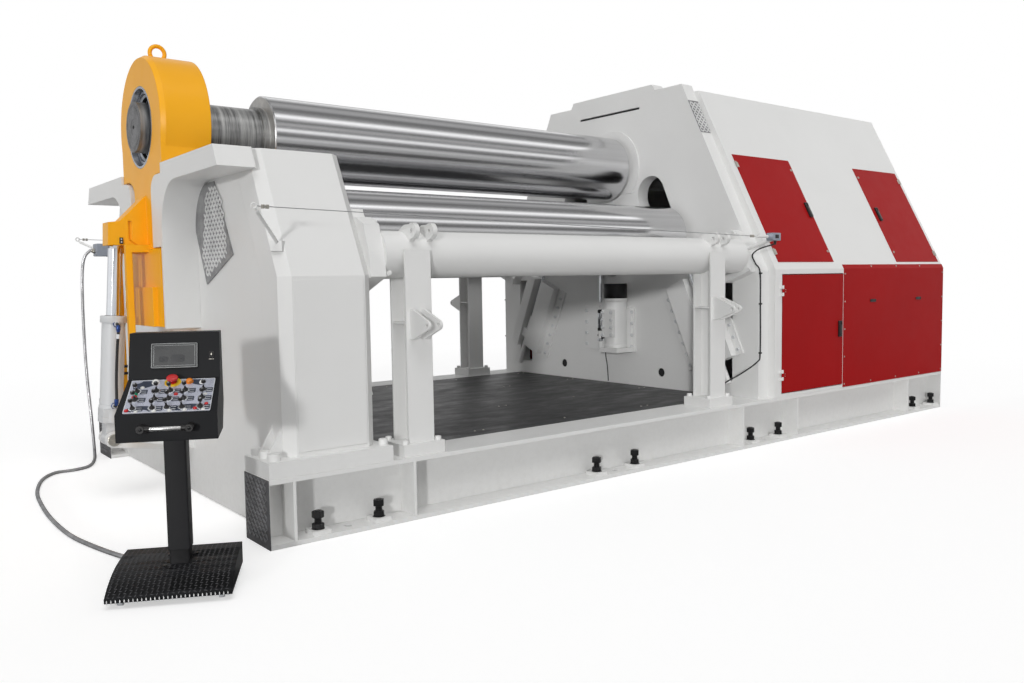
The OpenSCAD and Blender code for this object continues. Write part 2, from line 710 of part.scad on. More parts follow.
// ---- right frame ----
crown_half = 470;
module right_outline() {
    a = column_inset;
    c = right_ridge_y;
    polygon([[a, beam_h], [base_wid - a, beam_h], [base_wid - a, knee_z], [base_wid - c, right_frame_z],
             [mid + crown_half + 30, right_frame_z], [mid + crown_half, right_frame_z + right_crown],
             [mid - crown_half, right_frame_z + right_crown], [mid - crown_half - 30, right_frame_z],
             [c, right_frame_z], [a, knee_z]]);
}
window_y = [293, 470];
window_z = [450, 1230];
hole_y = [1008, base_wid - 938];
hole_z = 461;
hole_d = 72;
slit_x = 26;
slit_y = [mid - 330, mid + 388];
slit_z = [2630, 2648];
ring_d = 652;
ring_t = 8;
ring_flat = 215;
module right_plate() {
    color(white) placed() {
        difference() {
            along_x(plate_x0, plate_x1) difference() {
                right_outline();
                roll_slots();
                for (y = [window_y[0], base_wid - window_y[1]])
                    translate([y, window_z[0]]) square([window_y[1] - window_y[0], window_z[1] - window_z[0]]);
                translate([mid, top_roll_z]) circle(top_journal_d / 2 + run_gap);
                for (y = hole_y) translate([y, hole_z]) circle(d = hole_d);
            }
            translate([plate_x0 - 1, slit_y[0], slit_z[0]])
                cube([slit_x, slit_y[1] - slit_y[0], slit_z[1] - slit_z[0]]);
        }
        // ring around the top roll's journal
        translate([0, mid, top_roll_z]) difference() {
            rod_x(plate_x0 - ring_t, plate_x0, ring_d);
            rod_x(plate_x0 - ring_t - 1, plate_x0 + 1, top_journal_d + 2 * run_gap);
            // cut straight below, clear of the lower roll's bearing
            translate([plate_x0 - ring_t - 1, -ring_d, -ring_flat - ring_d])
                cube([ring_t + 2, 2 * ring_d, ring_d]);
        }
    }
}
// Guide plates below the side rolls and the barrels of their lifting rods, drawn in the guide's frame with
// the wall at x = 0 and the bay towards +x; each plate has a bolted flange on its outer side
rail_t = 78;
flange_t = 14;
inner_rail = [side_rod_at + 45, 150, 245];
outer_rail = [-300, -240, side_rod_at - 46];
rail_z = [-1070, -400];
outer_rail_z = [-1120, -420];
barrel_z = [-1290, -790];
barrel_wall = 8;
barrel_band = [-1010, 80];
module guide_box(s) {
    rod_x0 = roll_side_gap / 2;
    translate([0, mid - side_roll_y, side_roll_z]) rotate([-guide_lean, 0, 0]) scale([s, 1, 1]) {
        translate([seam, inner_rail[0], rail_z[0]])
            cube([rail_t, inner_rail[1] - inner_rail[0], rail_z[1] - rail_z[0]]);
        translate([seam, inner_rail[1] + seam, rail_z[0]])
            cube([flange_t, inner_rail[2] - inner_rail[1], rail_z[1] - rail_z[0]]);
        translate([seam, outer_rail[1] + seam, outer_rail_z[0]])
            cube([rail_t, outer_rail[2] - outer_rail[1], outer_rail_z[1] - outer_rail_z[0]]);
        translate([seam, outer_rail[0], outer_rail_z[0]])
            cube([flange_t, outer_rail[1] - outer_rail[0], outer_rail_z[1] - outer_rail_z[0]]);
        // barrel, held by a band between the two plates
        difference() {
            union() {
                translate([rod_x0, side_rod_at, barrel_z[0]])
                    cylinder(h = barrel_z[1] - barrel_z[0], d = lift_rod_d + 2 * barrel_wall);
                translate([seam, outer_rail[2] + 3 * seam, barrel_band[0]])
                    cube([rail_t - 20, inner_rail[0] - outer_rail[2] - 5 * seam, barrel_band[1]]);
            }
            translate([rod_x0, side_rod_at, barrel_z[0] + 10]) cylinder(h = 2000, d = lift_rod_d + 4);
        }
    }
}
module guide_boxes() {
    color(white) placed() both() {
        translate([frame_x1, 0, 0]) guide_box(1);
        translate([plate_x0, 0, 0]) guide_box(-1);
    }
}
// Drive units below the lower roll, drawn with the frame's face at x = 0 and the bay towards +x
unit_y = [mid - 280, mid + 327];
unit_z = [617, 996];
unit_t = 20;
motor_at = [125, mid - 165];
motor_d = 190;
motor_top = 1195;
lift_sleeve_d = 46;
lift_sleeve_l = 330;
shelf = [80, 105, 40];
saddle = [70, 80, 330];
hatch = [60, 44, 62];
hatch_z = [745, 980];
sleeve_slot = [50, 24, 400];
module lift_unit(s) {
    rod_at = [roll_side_gap / 2, mid + lower_rod_at];
    scale([s, 1, 1]) difference() {
        union() {
            translate([0, unit_y[0], unit_z[0]]) cube([unit_t, unit_y[1] - unit_y[0], unit_z[1] - unit_z[0]]);
            // shelf, saddle, motor and its hatch
            translate([unit_t - 1, motor_at[1] - shelf[1], unit_z[0]])
                cube([motor_at[0] + shelf[0], 2 * shelf[1], shelf[2]]);
            translate([unit_t - 1, motor_at[1] - saddle[1], unit_z[0] + shelf[2] - 1])
                cube([saddle[0], 2 * saddle[1], saddle[2]]);
            translate([motor_at[0], motor_at[1], unit_z[0] + shelf[2] - 1])
                cylinder(h = motor_top - unit_z[0] - shelf[2] + 1, d = motor_d);
            translate([motor_at[0] + hatch[0], motor_at[1] - hatch[2], hatch_z[0]])
                cube([hatch[1], 2 * hatch[2], hatch_z[1] - hatch_z[0]]);
            translate([rod_at[0], rod_at[1], unit_z[0]]) cylinder(h = lift_sleeve_l, d = lift_sleeve_d);
        }
        translate([rod_at[0], rod_at[1], unit_z[0] + 30]) cylinder(h = 1000, d = lift_rod_d + 4);
        translate([-1, rod_at[1] - sleeve_slot[1], unit_z[0] + lift_sleeve_l])
            cube([sleeve_slot[0], 2 * sleeve_slot[1], sleeve_slot[2]]);
    }
}
module lower_lift_units() {
    color(white) placed() {
        translate([frame_x1, 0, 0]) lift_unit(1);
        translate([plate_x0, 0, 0]) lift_unit(-1);
    }
}

// ---- tie tubes and posts ----
seat_l = 92;
// Outline of a tube's seat around the tube's axis
seat_outline = [[-117, -117], [86, -196], [167, -60], [140, 130], [35, 195], [-50, 155], [-97, 10]];
module seat_profile() { translate([tube_y, tube_z]) polygon(seat_outline); }
post_x = [frame_x1 + 257, plate_x0 - 478];
ear_t = 28;
ear_x = [-20, 90];
ear_at = [tube_y - 128, tube_z + 120];
ear_r = 42;
ear_bore = 22;
// Outline of an ear's root around its bore
ear_root = [[28, -60], [-42, 0], [-20, 37], [76, 34], [160, -12], [128, -60]];
module tie_tube() {
    difference() {
        union() {
            along_x(frame_x1, frame_x1 + seat_l) seat_profile();
            along_x(plate_x0 - seat_l, plate_x0) seat_profile();
            translate([0, tube_y, tube_z]) rod_x(frame_x1 + seat_l - 1, plate_x0 - seat_l + 1, tube_d);
            for (x = post_x, e = ear_x) along_x(x + e, x + e + ear_t) translate(ear_at) {
                circle(ear_r);
                polygon(ear_root);
            }
        }
        along_x(frame_x1 - 1, guard_x1) guard_profile();
        translate([0, tube_y, tube_z])
            rod_x(frame_x1 + seat_l + 20, plate_x0 - seat_l - 20, tube_d - 2 * tube_wall);
        for (x = post_x) translate([x, ear_at[0], ear_at[1]]) rod_x(ear_x[0] - 1, ear_x[1] + ear_t + 1, ear_bore);
    }
}
module tie_tubes() { color(white) placed() both() tie_tube(); }

post_y = 50;
post_foot_t = 65;
clevis_z = 1022;
clevis_out = 160;
clevis_x = [-58, 12];
clevis_t = 14;
clevis_bore = 20;
clevis_r = 24;
clevis_tip = [10, 22];
clevis_root = [30, 78];
post_foot = [127, 20, 250];
post_screws = [102, 50, 222];
post_screw_d = 34;
module post() {
    h = post_s / 2;
    z0 = beam_h + post_foot_t;
    inner = post_s - 2 * post_t - 2 * seam;
    // H section of welded plates, cut to fit under the tube
    difference() {
        union() {
            for (y = [post_y, post_y + post_s - post_t])
                translate([-h, y, z0 + seam]) cube([2 * h, post_t, post_z - z0 - seam]);
            translate([-post_t / 2, post_y + post_t + seam, z0 + seam]) cube([post_t, inner, post_z - z0 - seam]);
            for (s = [0, 1]) mirror([s, 0, 0]) translate([post_t / 2 + seam, post_y + post_t + seam, clevis_z])
                cube([h - post_t / 2 - 3, inner, 12]);
        }
        translate([0, tube_y, tube_z]) rod_x(-200, 200, tube_d);
    }
    translate([-post_foot[0], post_foot[1], beam_h])
        cube([2 * post_foot[0], post_foot[2] - post_foot[1], post_foot_t]);
    for (x = [-post_screws[0], post_screws[0]], y = [post_screws[1], post_screws[2]])
        translate([x, y, z0 - 1]) cylinder(h = 19, d = post_screw_d);
    for (x = clevis_x) difference() {
        along_x(x, x + clevis_t) translate([post_y, clevis_z]) {
            polygon([[-seam, -clevis_root[1]], [-seam, clevis_root[1]], [-clevis_root[0], clevis_root[1]],
                     [-clevis_out - clevis_tip[0], clevis_tip[1]], [-clevis_out - clevis_tip[0], -clevis_tip[1]],
                     [-clevis_root[0], -clevis_root[1]]]);
            translate([-clevis_out, 0]) circle(clevis_r);
        }
        translate([0, post_y - clevis_out, clevis_z])
            rod_x(clevis_x[0] - 1, clevis_x[1] + clevis_t + 1, clevis_bore);
    }
}
module posts() { color(white) placed() both() for (x = post_x) translate([x, 0, 0]) post(); }

// ---- drive housing ----
h_knee = knee_z + 9;
hx0 = plate_x1;
hx1 = base_len;
door_x0 = hx0 + 90;
door_z = [364, 1248];
door_gap = 5;
hinge_y = -10;
hinge_heights = [500, 1130];
knuckle_d = 14;
function h_y(z) = max(0, z - h_knee) * tan(housing_lean);
module housing_side() {
    t = sheet_t;
    r = h_y(housing_z);
    difference() {
        union() {
            along_x(hx0, hx1)
                polygon([[0, beam_h], [t, beam_h], [t, h_knee], [r + t, housing_z], [r, housing_z], [0, h_knee]]);
            along_x(hx0, hx0 + t) polygon([[1, beam_h], [column_inset + t, beam_h], [column_inset + t, h_knee],
                                           [r + column_inset + t, housing_z], [r + 1, housing_z], [1, h_knee]]);
        }
        translate([door_x0 - door_gap, -1, door_z[0] - door_gap])
            cube([door_w + 2 * door_gap, 2 + t, door_z[1] - door_z[0] + 2 * door_gap]);
    }
    for (z = hinge_heights) translate([door_x0 - door_gap, hinge_y, z]) {
        cylinder(h = 80, d = 8, center = true, $fn = 32);
        for (s = [-1, 1]) translate([0, 0, s * 27]) {
            cylinder(h = 26, d = knuckle_d, center = true, $fn = 32);
            translate([-26, 1, -13]) cube([20, -hinge_y - 1 + 1, 26]);
            translate([-26, -4, -13]) cube([26, 8, 26]);
        }
    }
}
module housing_sides() { color(white) placed() both() housing_side(); }
module housing_end() {
    t = sheet_t;
    r = h_y(housing_z) + t;
    color(white) placed() along_x(hx1 - t, hx1)
        polygon([[t, beam_h], [base_wid - t, beam_h], [base_wid - t, h_knee], [base_wid - r, housing_z],
                 [r, housing_z], [t, h_knee]]);
}
module housing_roof() {
    r = h_y(housing_z) + sheet_t;
    color(white) placed() translate([hx0 + sheet_t, r, housing_z - sheet_t])
        cube([hx1 - 2 * sheet_t - hx0, base_wid - 2 * r, sheet_t]);
}
module service_door() {
    w = door_w;
    z0 = door_z[0];
    h = door_z[1] - door_z[0];
    difference() {
        translate([door_x0, -door_t, z0]) cube([w, door_t + 20, h]);
        translate([door_x0 + door_t, 0, z0 + door_t]) cube([w - 2 * door_t, 21, h - 2 * door_t]);
    }
    for (z = hinge_heights) translate([door_x0 - door_gap, hinge_y, z]) difference() {
        union() {
            cylinder(h = 26, d = knuckle_d, center = true, $fn = 32);
            translate([0, -3, -13]) cube([34, -hinge_y - door_t + 3, 26]);
        }
        cylinder(h = 30, d = 8 + 2 * pin_fit, center = true, $fn = 32);
    }
}
latch_at = [door_x0 + door_w - 48, 812];
module door_latch() {
    translate([latch_at[0] - 20, -door_t - 12, latch_at[1] - 62]) cube([40, 12, 124]);
    translate([latch_at[0] - 10, -door_t - 22, latch_at[1] - 48]) cube([20, 12, 96]);
}
module front_service_door() { color(red) placed() service_door(); }
module back_service_door() { color(red) placed() mirrored() service_door(); }
module front_door_latch() { color(black) placed() door_latch(); }
module back_door_latch() { color(black) placed() mirrored() door_latch(); }

// Upper doors and bolted lower panels, laid on the sheet
upper_z = [1343, 2183];
upper_x = [hx0 + 72, base_len - 43 - upper_door_w];
panel_x0 = door_x0 + door_w + 12;
panel_z = [336, 1323];
module on_slant(x, z) { translate([x, h_y(z), z]) rotate([-housing_lean, 0, 0]) children(); }
module fixed_doors() {
    t = door_t;
    color(red) placed() both() {
        for (x = upper_x) on_slant(x, upper_z[0])
            translate([0, -t, 0]) cube([upper_door_w, t, (upper_z[1] - upper_z[0]) / cos(housing_lean)]);
        translate([panel_x0, -t, panel_z[0]]) cube([base_len - panel_x0, t, h_knee - panel_z[0] - seam]);
        along_x(panel_x0, base_len)
            polygon([[-t, h_knee], [0, h_knee], [h_y(panel_z[1]), panel_z[1]], [h_y(panel_z[1]) - t, panel_z[1]]]);
    }
}
module slot_handle(l) {
    translate([-10, -door_t - 8, 0]) cube([20, 8, l]);
    translate([-22, -door_t - 4, -12]) cube([44, 4, l + 24]);
}
module door_fittings() {
    color(black) placed() both() {
        on_slant(upper_x[0] + upper_door_w - 40, 1700) slot_handle(110);
        on_slant(upper_x[1] + 62, 1700) slot_handle(110);
        for (x = [5250, 6010]) translate([x, -door_t - 6, 1012]) cube([88, 6, 22]);
    }
}

// ---- safety wires ----
// A rising arm on the left column and a switch on the right frame, with a wire drawn tight between them
wire_y = -100;
wire_left = [-62, wire_y, 1590];
wire_d = 4;
ring_r = 12;
ring_bar = 8;
switch_x = plate_x0 - 90;
wire_right = [switch_x - 152, wire_y, 1520];
module wire_ring(at) {
    translate(at) rotate([90, 0, 0]) rotate_extrude() translate([ring_r, 0]) circle(d = ring_bar, $fn = 16);
}
module bar(a, b, d) {
    v = b - a;
    l = norm(v);
    translate(a) rotate([0, acos(v[2] / l), atan2(v[1], v[0])]) cylinder(h = l, d = d, $fn = 24);
}
module wire_brackets() {
    color(white) placed() {
        wire_bracket();
        mirrored() difference() {
            wire_bracket();
            // the junction box sits on the arm
            mirrored() translate(jbox[0] - [seam, seam, seam]) cube(jbox[1] + 2 * [seam, seam, seam]);
            mirrored() translate(jbox_plate[0] - [seam, seam, seam]) cube(jbox_plate[1] + 2 * [seam, seam, seam]);
        }
    }
}
module wire_bracket() {
    foot_y = lean_y(column_inset, 1450, face_lean);
    union() {
        // left: a foot on the column's bevel and an arm out to the ring
        difference() {
            union() {
                translate([wall_x + 28, foot_y + 8, 1425]) rotate([0, 0, 45]) cube([46, 60, 50], center = true);
                bar([wall_x + 24, foot_y, 1440], wire_left + [14, 6, -20], 16);
            }
            translate([wall_x, 0, 0]) column_shape();
        }
        bar(wire_left + [16, 8, -24], wire_left + [7, 0, -10], 8);
        wire_ring(wire_left);
        // right: an arm from the tube's seat to the pull switch
        bar([switch_x + 42, tube_y - 92, tube_z + 55], [switch_x + 42, wire_y + 20, 1500], 26);
        translate([switch_x, wire_y - 24, 1494]) cube([90, 52, 52]);
        translate([0, wire_y, 1520]) rod_x(wire_right[0] + ring_r, switch_x + 1, 22);
        wire_ring(wire_right);
    }
}
module safety_wires() {
    gap = ring_r + ring_bar / 2;
    color(steel) placed() both() bar(wire_left + [gap, 0, 0], wire_right - [gap, 0, 0], wire_d);
}

// ---- cords: a round tube swept along a smoothed route ----
function smooth_at(p, i, t) =
    let (n = len(p), a = i > 0 ? p[i - 1] : 2 * p[0] - p[1], b = p[i], c = p[i + 1],
         d = i < n - 2 ? p[i + 2] : 2 * p[n - 1] - p[n - 2])
    0.5 * (2 * b + (c - a) * t + (2 * a - 5 * b + 4 * c - d) * t * t + (3 * b - a - 3 * c + d) * t * t * t);
function smooth(p, k) = concat([for (i = [0 : len(p) - 2], j = [0 : k - 1]) smooth_at(p, i, j / k)],
                               [p[len(p) - 1]]);
function unit(v) = v / norm(v);
module cord(route, d, k, side = [0.7, -0.5, 0.5], sides = 10) {
    q = smooth(route, k);
    m = len(q);
    dir = [for (i = [0 : m - 1]) i == 0 ? unit(route[1] - route[0])
           : i == m - 1 ? unit(route[len(route) - 1] - route[len(route) - 2]) : unit(q[i + 1] - q[i - 1])];
    pts = [for (i = [0 : m - 1], j = [0 : sides - 1])
           let (u = unit(cross(dir[i], side)), v = cross(dir[i], u), a = 360 * j / sides)
           q[i] + d / 2 * (u * cos(a) + v * sin(a))];
    faces = concat([[for (j = [0 : sides - 1]) j]],
                   [for (i = [0 : m - 2], j = [0 : sides - 1])
                    [i * sides + j, (i + 1) * sides + j, (i + 1) * sides + (j + 1) % sides,
                     i * sides + (j + 1) % sides]],
                   [[for (j = [sides - 1 : -1 : 0]) (m - 1) * sides + j]]);
    polyhedron(points = pts, faces = faces);
}
hose_d = 16;
hose_route = [[0, -80, port_l[0]], [0, -92, port_l[0]], [0, -104, port_l[0] - 10], [0, -108, port_l[0] - 50],
              [0, -94, port_l[0] - 150], [0, -92, port_l[1] + 160], [0, -108, port_l[1] + 50],
              [0, -104, port_l[1] + 10], [0, -92, port_l[1]], [0, -80, port_l[1]]];
module drop_hose() {
    color(black) placed() along_cylinder() cord(hose_route, hose_d, 5, [1, 0, 0]);
}
switch_cable_d = 10;
switch_cable_route = [[switch_x + 60, wire_y, 1494], [switch_x + 60, wire_y, 1484],
                      [switch_x + 48, wire_y + 8, 1466], [plate_x0 - 96, -20, 1438], [plate_x0 - 108, 36, 1395],
                      [plate_x0 - 50, 52, 1335], [plate_x0 + 8, 53, 1270],
                      [plate_x0 + 14, 53, 1040], [plate_x0 + 14, 53, 680], [plate_x0 - 20, 56, 610],
                      [plate_x0 - 160, 90, 535], [plate_x0 - 300, 120, 480], [3446, 136, 440],
                      [3440, 136, 408], [3440, 136, beam_h + post_foot_t]];
module switch_cable() { color(black) placed() cord(switch_cable_route, switch_cable_d, 6, [0.3, 1, 0.4]); }

// ---- junction box and the console's conduit ----
jbox = [[12, base_wid - 126, 1460], [107, 100, 92]];
jbox_plate = [[wall_x - 6, base_wid - 288, 1472], [6, 250, 60]];
module junction_box() {
    color([0.6, 0.62, 0.64]) placed() {
        translate(jbox[0]) cube(jbox[1]);
        translate(jbox_plate[0]) cube(jbox_plate[1]);
        translate([jbox[0][0] - 16, base_wid - 76, 1500]) rod_x(0, 17, 34);
    }
}
conduit_d = 22;
conduit_route = [[-4, 3062, 1500], [-20, 3062, 1500], [-64, 3074, 1430], [-80, 3085, 1200], [-80, 3090, 700],
                 [-70, 3050, 300], [-80, 2960, 60], [-120, 2800, 14], [-200, 2610, 12], [-310, 2550, 12],
                 [-420, 2540, 12], [-530, 2360, 12], [-620, 2010, 12], [-660, 1660, 12], [-680, 1285, 12],
                 [-673, 900, 12], [-635, 640, 12], [-580, 400, 12], [-547, 230, 25], [-548, 112, 60],
                 [-575, 59, 60]];
module conduit() { color([0.5, 0.5, 0.5]) placed() cord(conduit_route, conduit_d, 4); }

// ---- console, drawn with the operator on the -Y side ----
console_at = [-490, -215];
base_half = [237, 205];
stand_at = [13, 20];
desk_x = 20;
desk_y = -205;
module console_place() { placed() translate([console_at[0], console_at[1], 0]) rotate([0, 0, console_turn]) children(); }
module console_stand() {
    color(black) console_place() {
        along_x(-base_half[0], base_half[0])
            polygon([[-base_half[1], 28], [base_half[1], 28], [base_half[1], 118], [base_half[1] - 60, 118], [40, 113],
                     [-60, 96], [-140, 72], [-base_half[1], 46]]);
        translate([stand_at[0] - console_post / 2, stand_at[1] - console_post / 2, 60])
            cube([console_post, console_post, desk_z[0] - 60]);
        for (x = [-190, 190], y = [-150, 160]) translate([x, y, 20]) {
            rod_x(-12, 12, 40);
            translate([-17, -10, 4]) cube([34, 20, 8]);
        }
    }
}
// Desk: a box with a sloping button plate in front and a leaning screen panel behind, narrower at the back
desk_half = desk_w / 2;
desk_z = [650, 756, 870, 1054];
slope_d = 208;
screen_d = 50;
desk_taper = 0.05;
slope = atan2(desk_z[2] - desk_z[1], slope_d);
slope_l = norm([slope_d, desk_z[2] - desk_z[1]]);
screen_lean = atan2(screen_d, desk_z[3] - desk_z[2]);
module desk_profile() {
    y = [desk_y, desk_y + slope_d, desk_y + slope_d + screen_d, desk_y + slope_d + screen_d + 95];
    polygon([[y[0], desk_z[0]], [y[0], desk_z[1]], [y[1], desk_z[2]], [y[2], desk_z[3]], [y[3], desk_z[3]],
             [y[3], 760], [y[3] - 90, desk_z[0]]]);
}
module console_desk() {
    color(black) console_place() translate([desk_x, 0, 0]) intersection() {
        along_x(-desk_half, desk_half) desk_profile();
        linear_extrude(2000) polygon([[-desk_half, desk_y], [desk_half, desk_y],
                                      [desk_half - 400 * desk_taper, desk_y + 400],
                                      [-desk_half + 400 * desk_taper, desk_y + 400]]);
    }
}
module on_slope() { translate([desk_x, desk_y, desk_z[1]]) rotate([slope, 0, 0]) children(); }
module on_screen() { translate([desk_x, desk_y + slope_d, desk_z[2]]) rotate([-screen_lean, 0, 0]) children(); }
plate_half = 160;
plate_y = [8, slope_l - 12];
screen_s = [176, 99];
module console_panel() {
    color([0.75, 0.79, 0.84]) console_place() {
        on_slope() translate([-plate_half, plate_y[0], seam]) cube([2 * plate_half, plate_y[1] - plate_y[0], 3]);
        on_screen() translate([-screen_s[0] / 2, -8, 44]) cube([screen_s[0], 8 - seam, screen_s[1]]);
    }
}
stick_x = [-127, -56, -2, 54, 121];
stick_y = [34, 92, 146];
handle_z = 704;
handle_half = 106;
module console_controls() {
    color(red) console_place() {
        on_slope() {
            // stop button, two lamps and the joysticks' gaiters with their sticks
            translate([-2, 204, 3 + seam]) {
                cylinder(h = 10, d = 50);
                cylinder(h = 26, d = 20);
                translate([0, 0, 24]) cylinder(h = 14, d = 40);
            }
            for (x = [-66, 62]) translate([x, 204, 3 + seam]) cylinder(h = 20, d = 26);
            for (x = stick_x, y = stick_y) translate([x, y, 3 + seam]) {
                cylinder(h = 8, d = 30);
                cylinder(h = 34, d = 10);
                translate([0, 0, 32]) cylinder(h = 14, d = 18);
            }
        }
        // bar handle on the front
        for (x = [-88, 88]) translate([desk_x + x, 0, handle_z]) rod_y(desk_y - 34, desk_y, 12);
        translate([desk_x, desk_y - 34, handle_z]) rod_x(-handle_half, handle_half, 16);
    }
}

main_beams();
cross_members();
deck();
leveling_bolts();
beam_end_covers();
left_columns();
left_outer_wall();
left_inner_wall();
left_roof();
yoke();
checker_covers();
left_guards();
drop_brackets();
drop_end();
drop_bearing();
lifting_eye();
drop_barrel();
drop_rod();
drop_hose();
top_roll();
lower_roll();
front_roll();
back_roll();
lower_bearings();
front_bearings();
back_bearings();
right_plate();
guide_boxes();
lower_lift_units();
tie_tubes();
posts();
housing_sides();
housing_end();
housing_roof();
front_service_door();
back_service_door();
front_door_latch();
back_door_latch();
fixed_doors();
door_fittings();
wire_brackets();
safety_wires();
switch_cable();
junction_box();
conduit();
console_stand();
console_desk();
console_panel();
console_controls();
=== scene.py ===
import math

import bmesh
import bpy
from mathutils import Matrix, Vector


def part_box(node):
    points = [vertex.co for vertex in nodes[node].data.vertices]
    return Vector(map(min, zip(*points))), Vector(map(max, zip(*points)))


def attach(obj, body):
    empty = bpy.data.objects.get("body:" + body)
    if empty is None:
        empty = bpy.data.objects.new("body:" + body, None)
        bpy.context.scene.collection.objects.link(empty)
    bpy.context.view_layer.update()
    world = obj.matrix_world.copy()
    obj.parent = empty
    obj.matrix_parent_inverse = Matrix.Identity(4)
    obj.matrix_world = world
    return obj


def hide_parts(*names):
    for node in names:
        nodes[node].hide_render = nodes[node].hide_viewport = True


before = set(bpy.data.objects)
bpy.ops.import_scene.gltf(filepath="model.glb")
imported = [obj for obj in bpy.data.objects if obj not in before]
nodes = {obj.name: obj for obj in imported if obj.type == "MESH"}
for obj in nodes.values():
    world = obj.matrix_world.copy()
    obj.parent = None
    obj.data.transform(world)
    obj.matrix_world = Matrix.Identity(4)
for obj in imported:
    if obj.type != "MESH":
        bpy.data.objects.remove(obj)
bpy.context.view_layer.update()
scene = bpy.context.scene
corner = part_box("beam_end_covers")[0]   # front left foot of the base, which all places below count from
print("frame loaded:", len(nodes), "nodes")

# Camera
cameraFacts = {
    "place": (-4.9455, -5.4131, 1.2552),
    "yaw": 38.3626,      # from +Y towards +X, in degrees
    "pitch": 4.1522,     # downwards
    "roll": -0.8891,
    "lens": 30.717,
}


def makeCamera(facts):
    yaw, pitch, roll = (math.radians(facts[k]) for k in ("yaw", "pitch", "roll"))
    ahead = Vector((math.sin(yaw) * math.cos(pitch), math.cos(yaw) * math.cos(pitch), -math.sin(pitch)))
    level = Vector((math.cos(yaw), -math.sin(yaw), 0))
    above = level.cross(ahead)
    right = level * math.cos(roll) + above * math.sin(roll)
    up = above * math.cos(roll) - level * math.sin(roll)
    data = bpy.data.cameras.new("camera")
    data.sensor_width = 36
    data.lens = facts["lens"]
    data.clip_end = 200
    camera = bpy.data.objects.new("camera", data)
    scene.collection.objects.link(camera)
    turn = Matrix((right, up, -ahead)).transposed()
    camera.matrix_world = Matrix.Translation(facts["place"]) @ turn.to_4x4()
    scene.camera = camera


makeCamera(cameraFacts)

# Local frames: every piece is drawn in millimetres in one of these
baseWidth = 3138
midY = baseWidth / 2
machine = Matrix.Translation(corner) @ Matrix.Scale(0.001, 4)
farSide = machine @ Matrix.Translation((0, baseWidth, 0)) @ Matrix.Scale(-1, 4, (0, 1, 0))
bothSides = (("Front", machine), ("Back", farSide))


def turned(place, axis, degrees):
    return Matrix.Translation(place) @ Matrix.Rotation(math.radians(degrees), 4, axis)


consoleFrame = machine @ turned((-490, -215, 0), "Z", -27)
slopeFrame = consoleFrame @ turned((20, -205, 756), "X", math.degrees(math.atan2(114, 208)))
screenFrame = consoleFrame @ turned((20, 3, 870), "X", -math.degrees(math.atan2(50, 184)))
cylinderFrame = machine @ turned((-298, midY, 360), "Y", math.degrees(math.atan2(82, 1188)))
rollGuide = turned((0, 916, 1574), "X", -24)
housingLean = 26.9
kneeHeight = 1289


def slantY(z):
    return max(0, z - kneeHeight) * math.tan(math.radians(housingLean))


def onSlant(x, z):
    return turned((x, slantY(z), z), "X", -housingLean)


# Materials
def startMaterial(name, colour, roughness, metallic=0.0, **more):
    material = bpy.data.materials.new(name)
    material.use_nodes = True
    shader = material.node_tree.nodes["Principled BSDF"]
    shader.inputs["Base Color"].default_value = (*colour, 1)
    shader.inputs["Roughness"].default_value = roughness
    shader.inputs["Metallic"].default_value = metallic
    for socket, value in more.items():
        shader.inputs[socket.replace("_", " ")].default_value = value
    return material, material.node_tree, shader


def addNode(tree, kind, inputs=(), **settings):
    node = tree.nodes.new(kind)
    for key, value in settings.items():
        setattr(node, key, value)
    for key, value in dict(inputs).items():
        if isinstance(value, bpy.types.NodeSocket):
            tree.links.new(value, node.inputs[key])
        else:
            node.inputs[key].default_value = value
    return node


def objectPlace(tree, stretch=(1, 1, 1)):
    coordinates = addNode(tree, "ShaderNodeTexCoord")
    return addNode(tree, "ShaderNodeMapping", {"Vector": coordinates.outputs["Object"], "Scale": stretch})


def addNoise(tree, scale, detail=3, stretch=(1, 1, 1), roughness=0.55):
    place = objectPlace(tree, stretch)
    return addNode(tree, "ShaderNodeTexNoise", {"Vector": place.outputs[0], "Scale": scale, "Detail": detail,
                                                "Roughness": roughness})


def addRange(tree, value, low, high, fromLow=0.35, fromHigh=0.65):
    return addNode(tree, "ShaderNodeMapRange", {"Value": value, "From Min": fromLow, "From Max": fromHigh,
                                                "To Min": low, "To Max": high})


def addMix(tree, factor, first, second):
    mix = addNode(tree, "ShaderNodeMix", {"Factor": factor}, data_type="RGBA")
    for socket, value in ((mix.inputs[6], first), (mix.inputs[7], second)):
        if isinstance(value, bpy.types.NodeSocket):
            tree.links.new(value, socket)
        else:
            socket.default_value = (*value, 1)
    return mix.outputs[2]


def addBump(tree, shader, height, distance, strength=1.0, edge=0.0):
    bump = addNode(tree, "ShaderNodeBump", {"Height": height, "Distance": distance, "Strength": strength})
    if edge:
        rounded = addNode(tree, "ShaderNodeBevel", {"Radius": edge}, samples=4)
        tree.links.new(rounded.outputs[0], bump.inputs["Normal"])
    tree.links.new(bump.outputs[0], shader.inputs["Normal"])


def shaded(colour, factor):
    return tuple(min(1, c * factor) for c in colour)


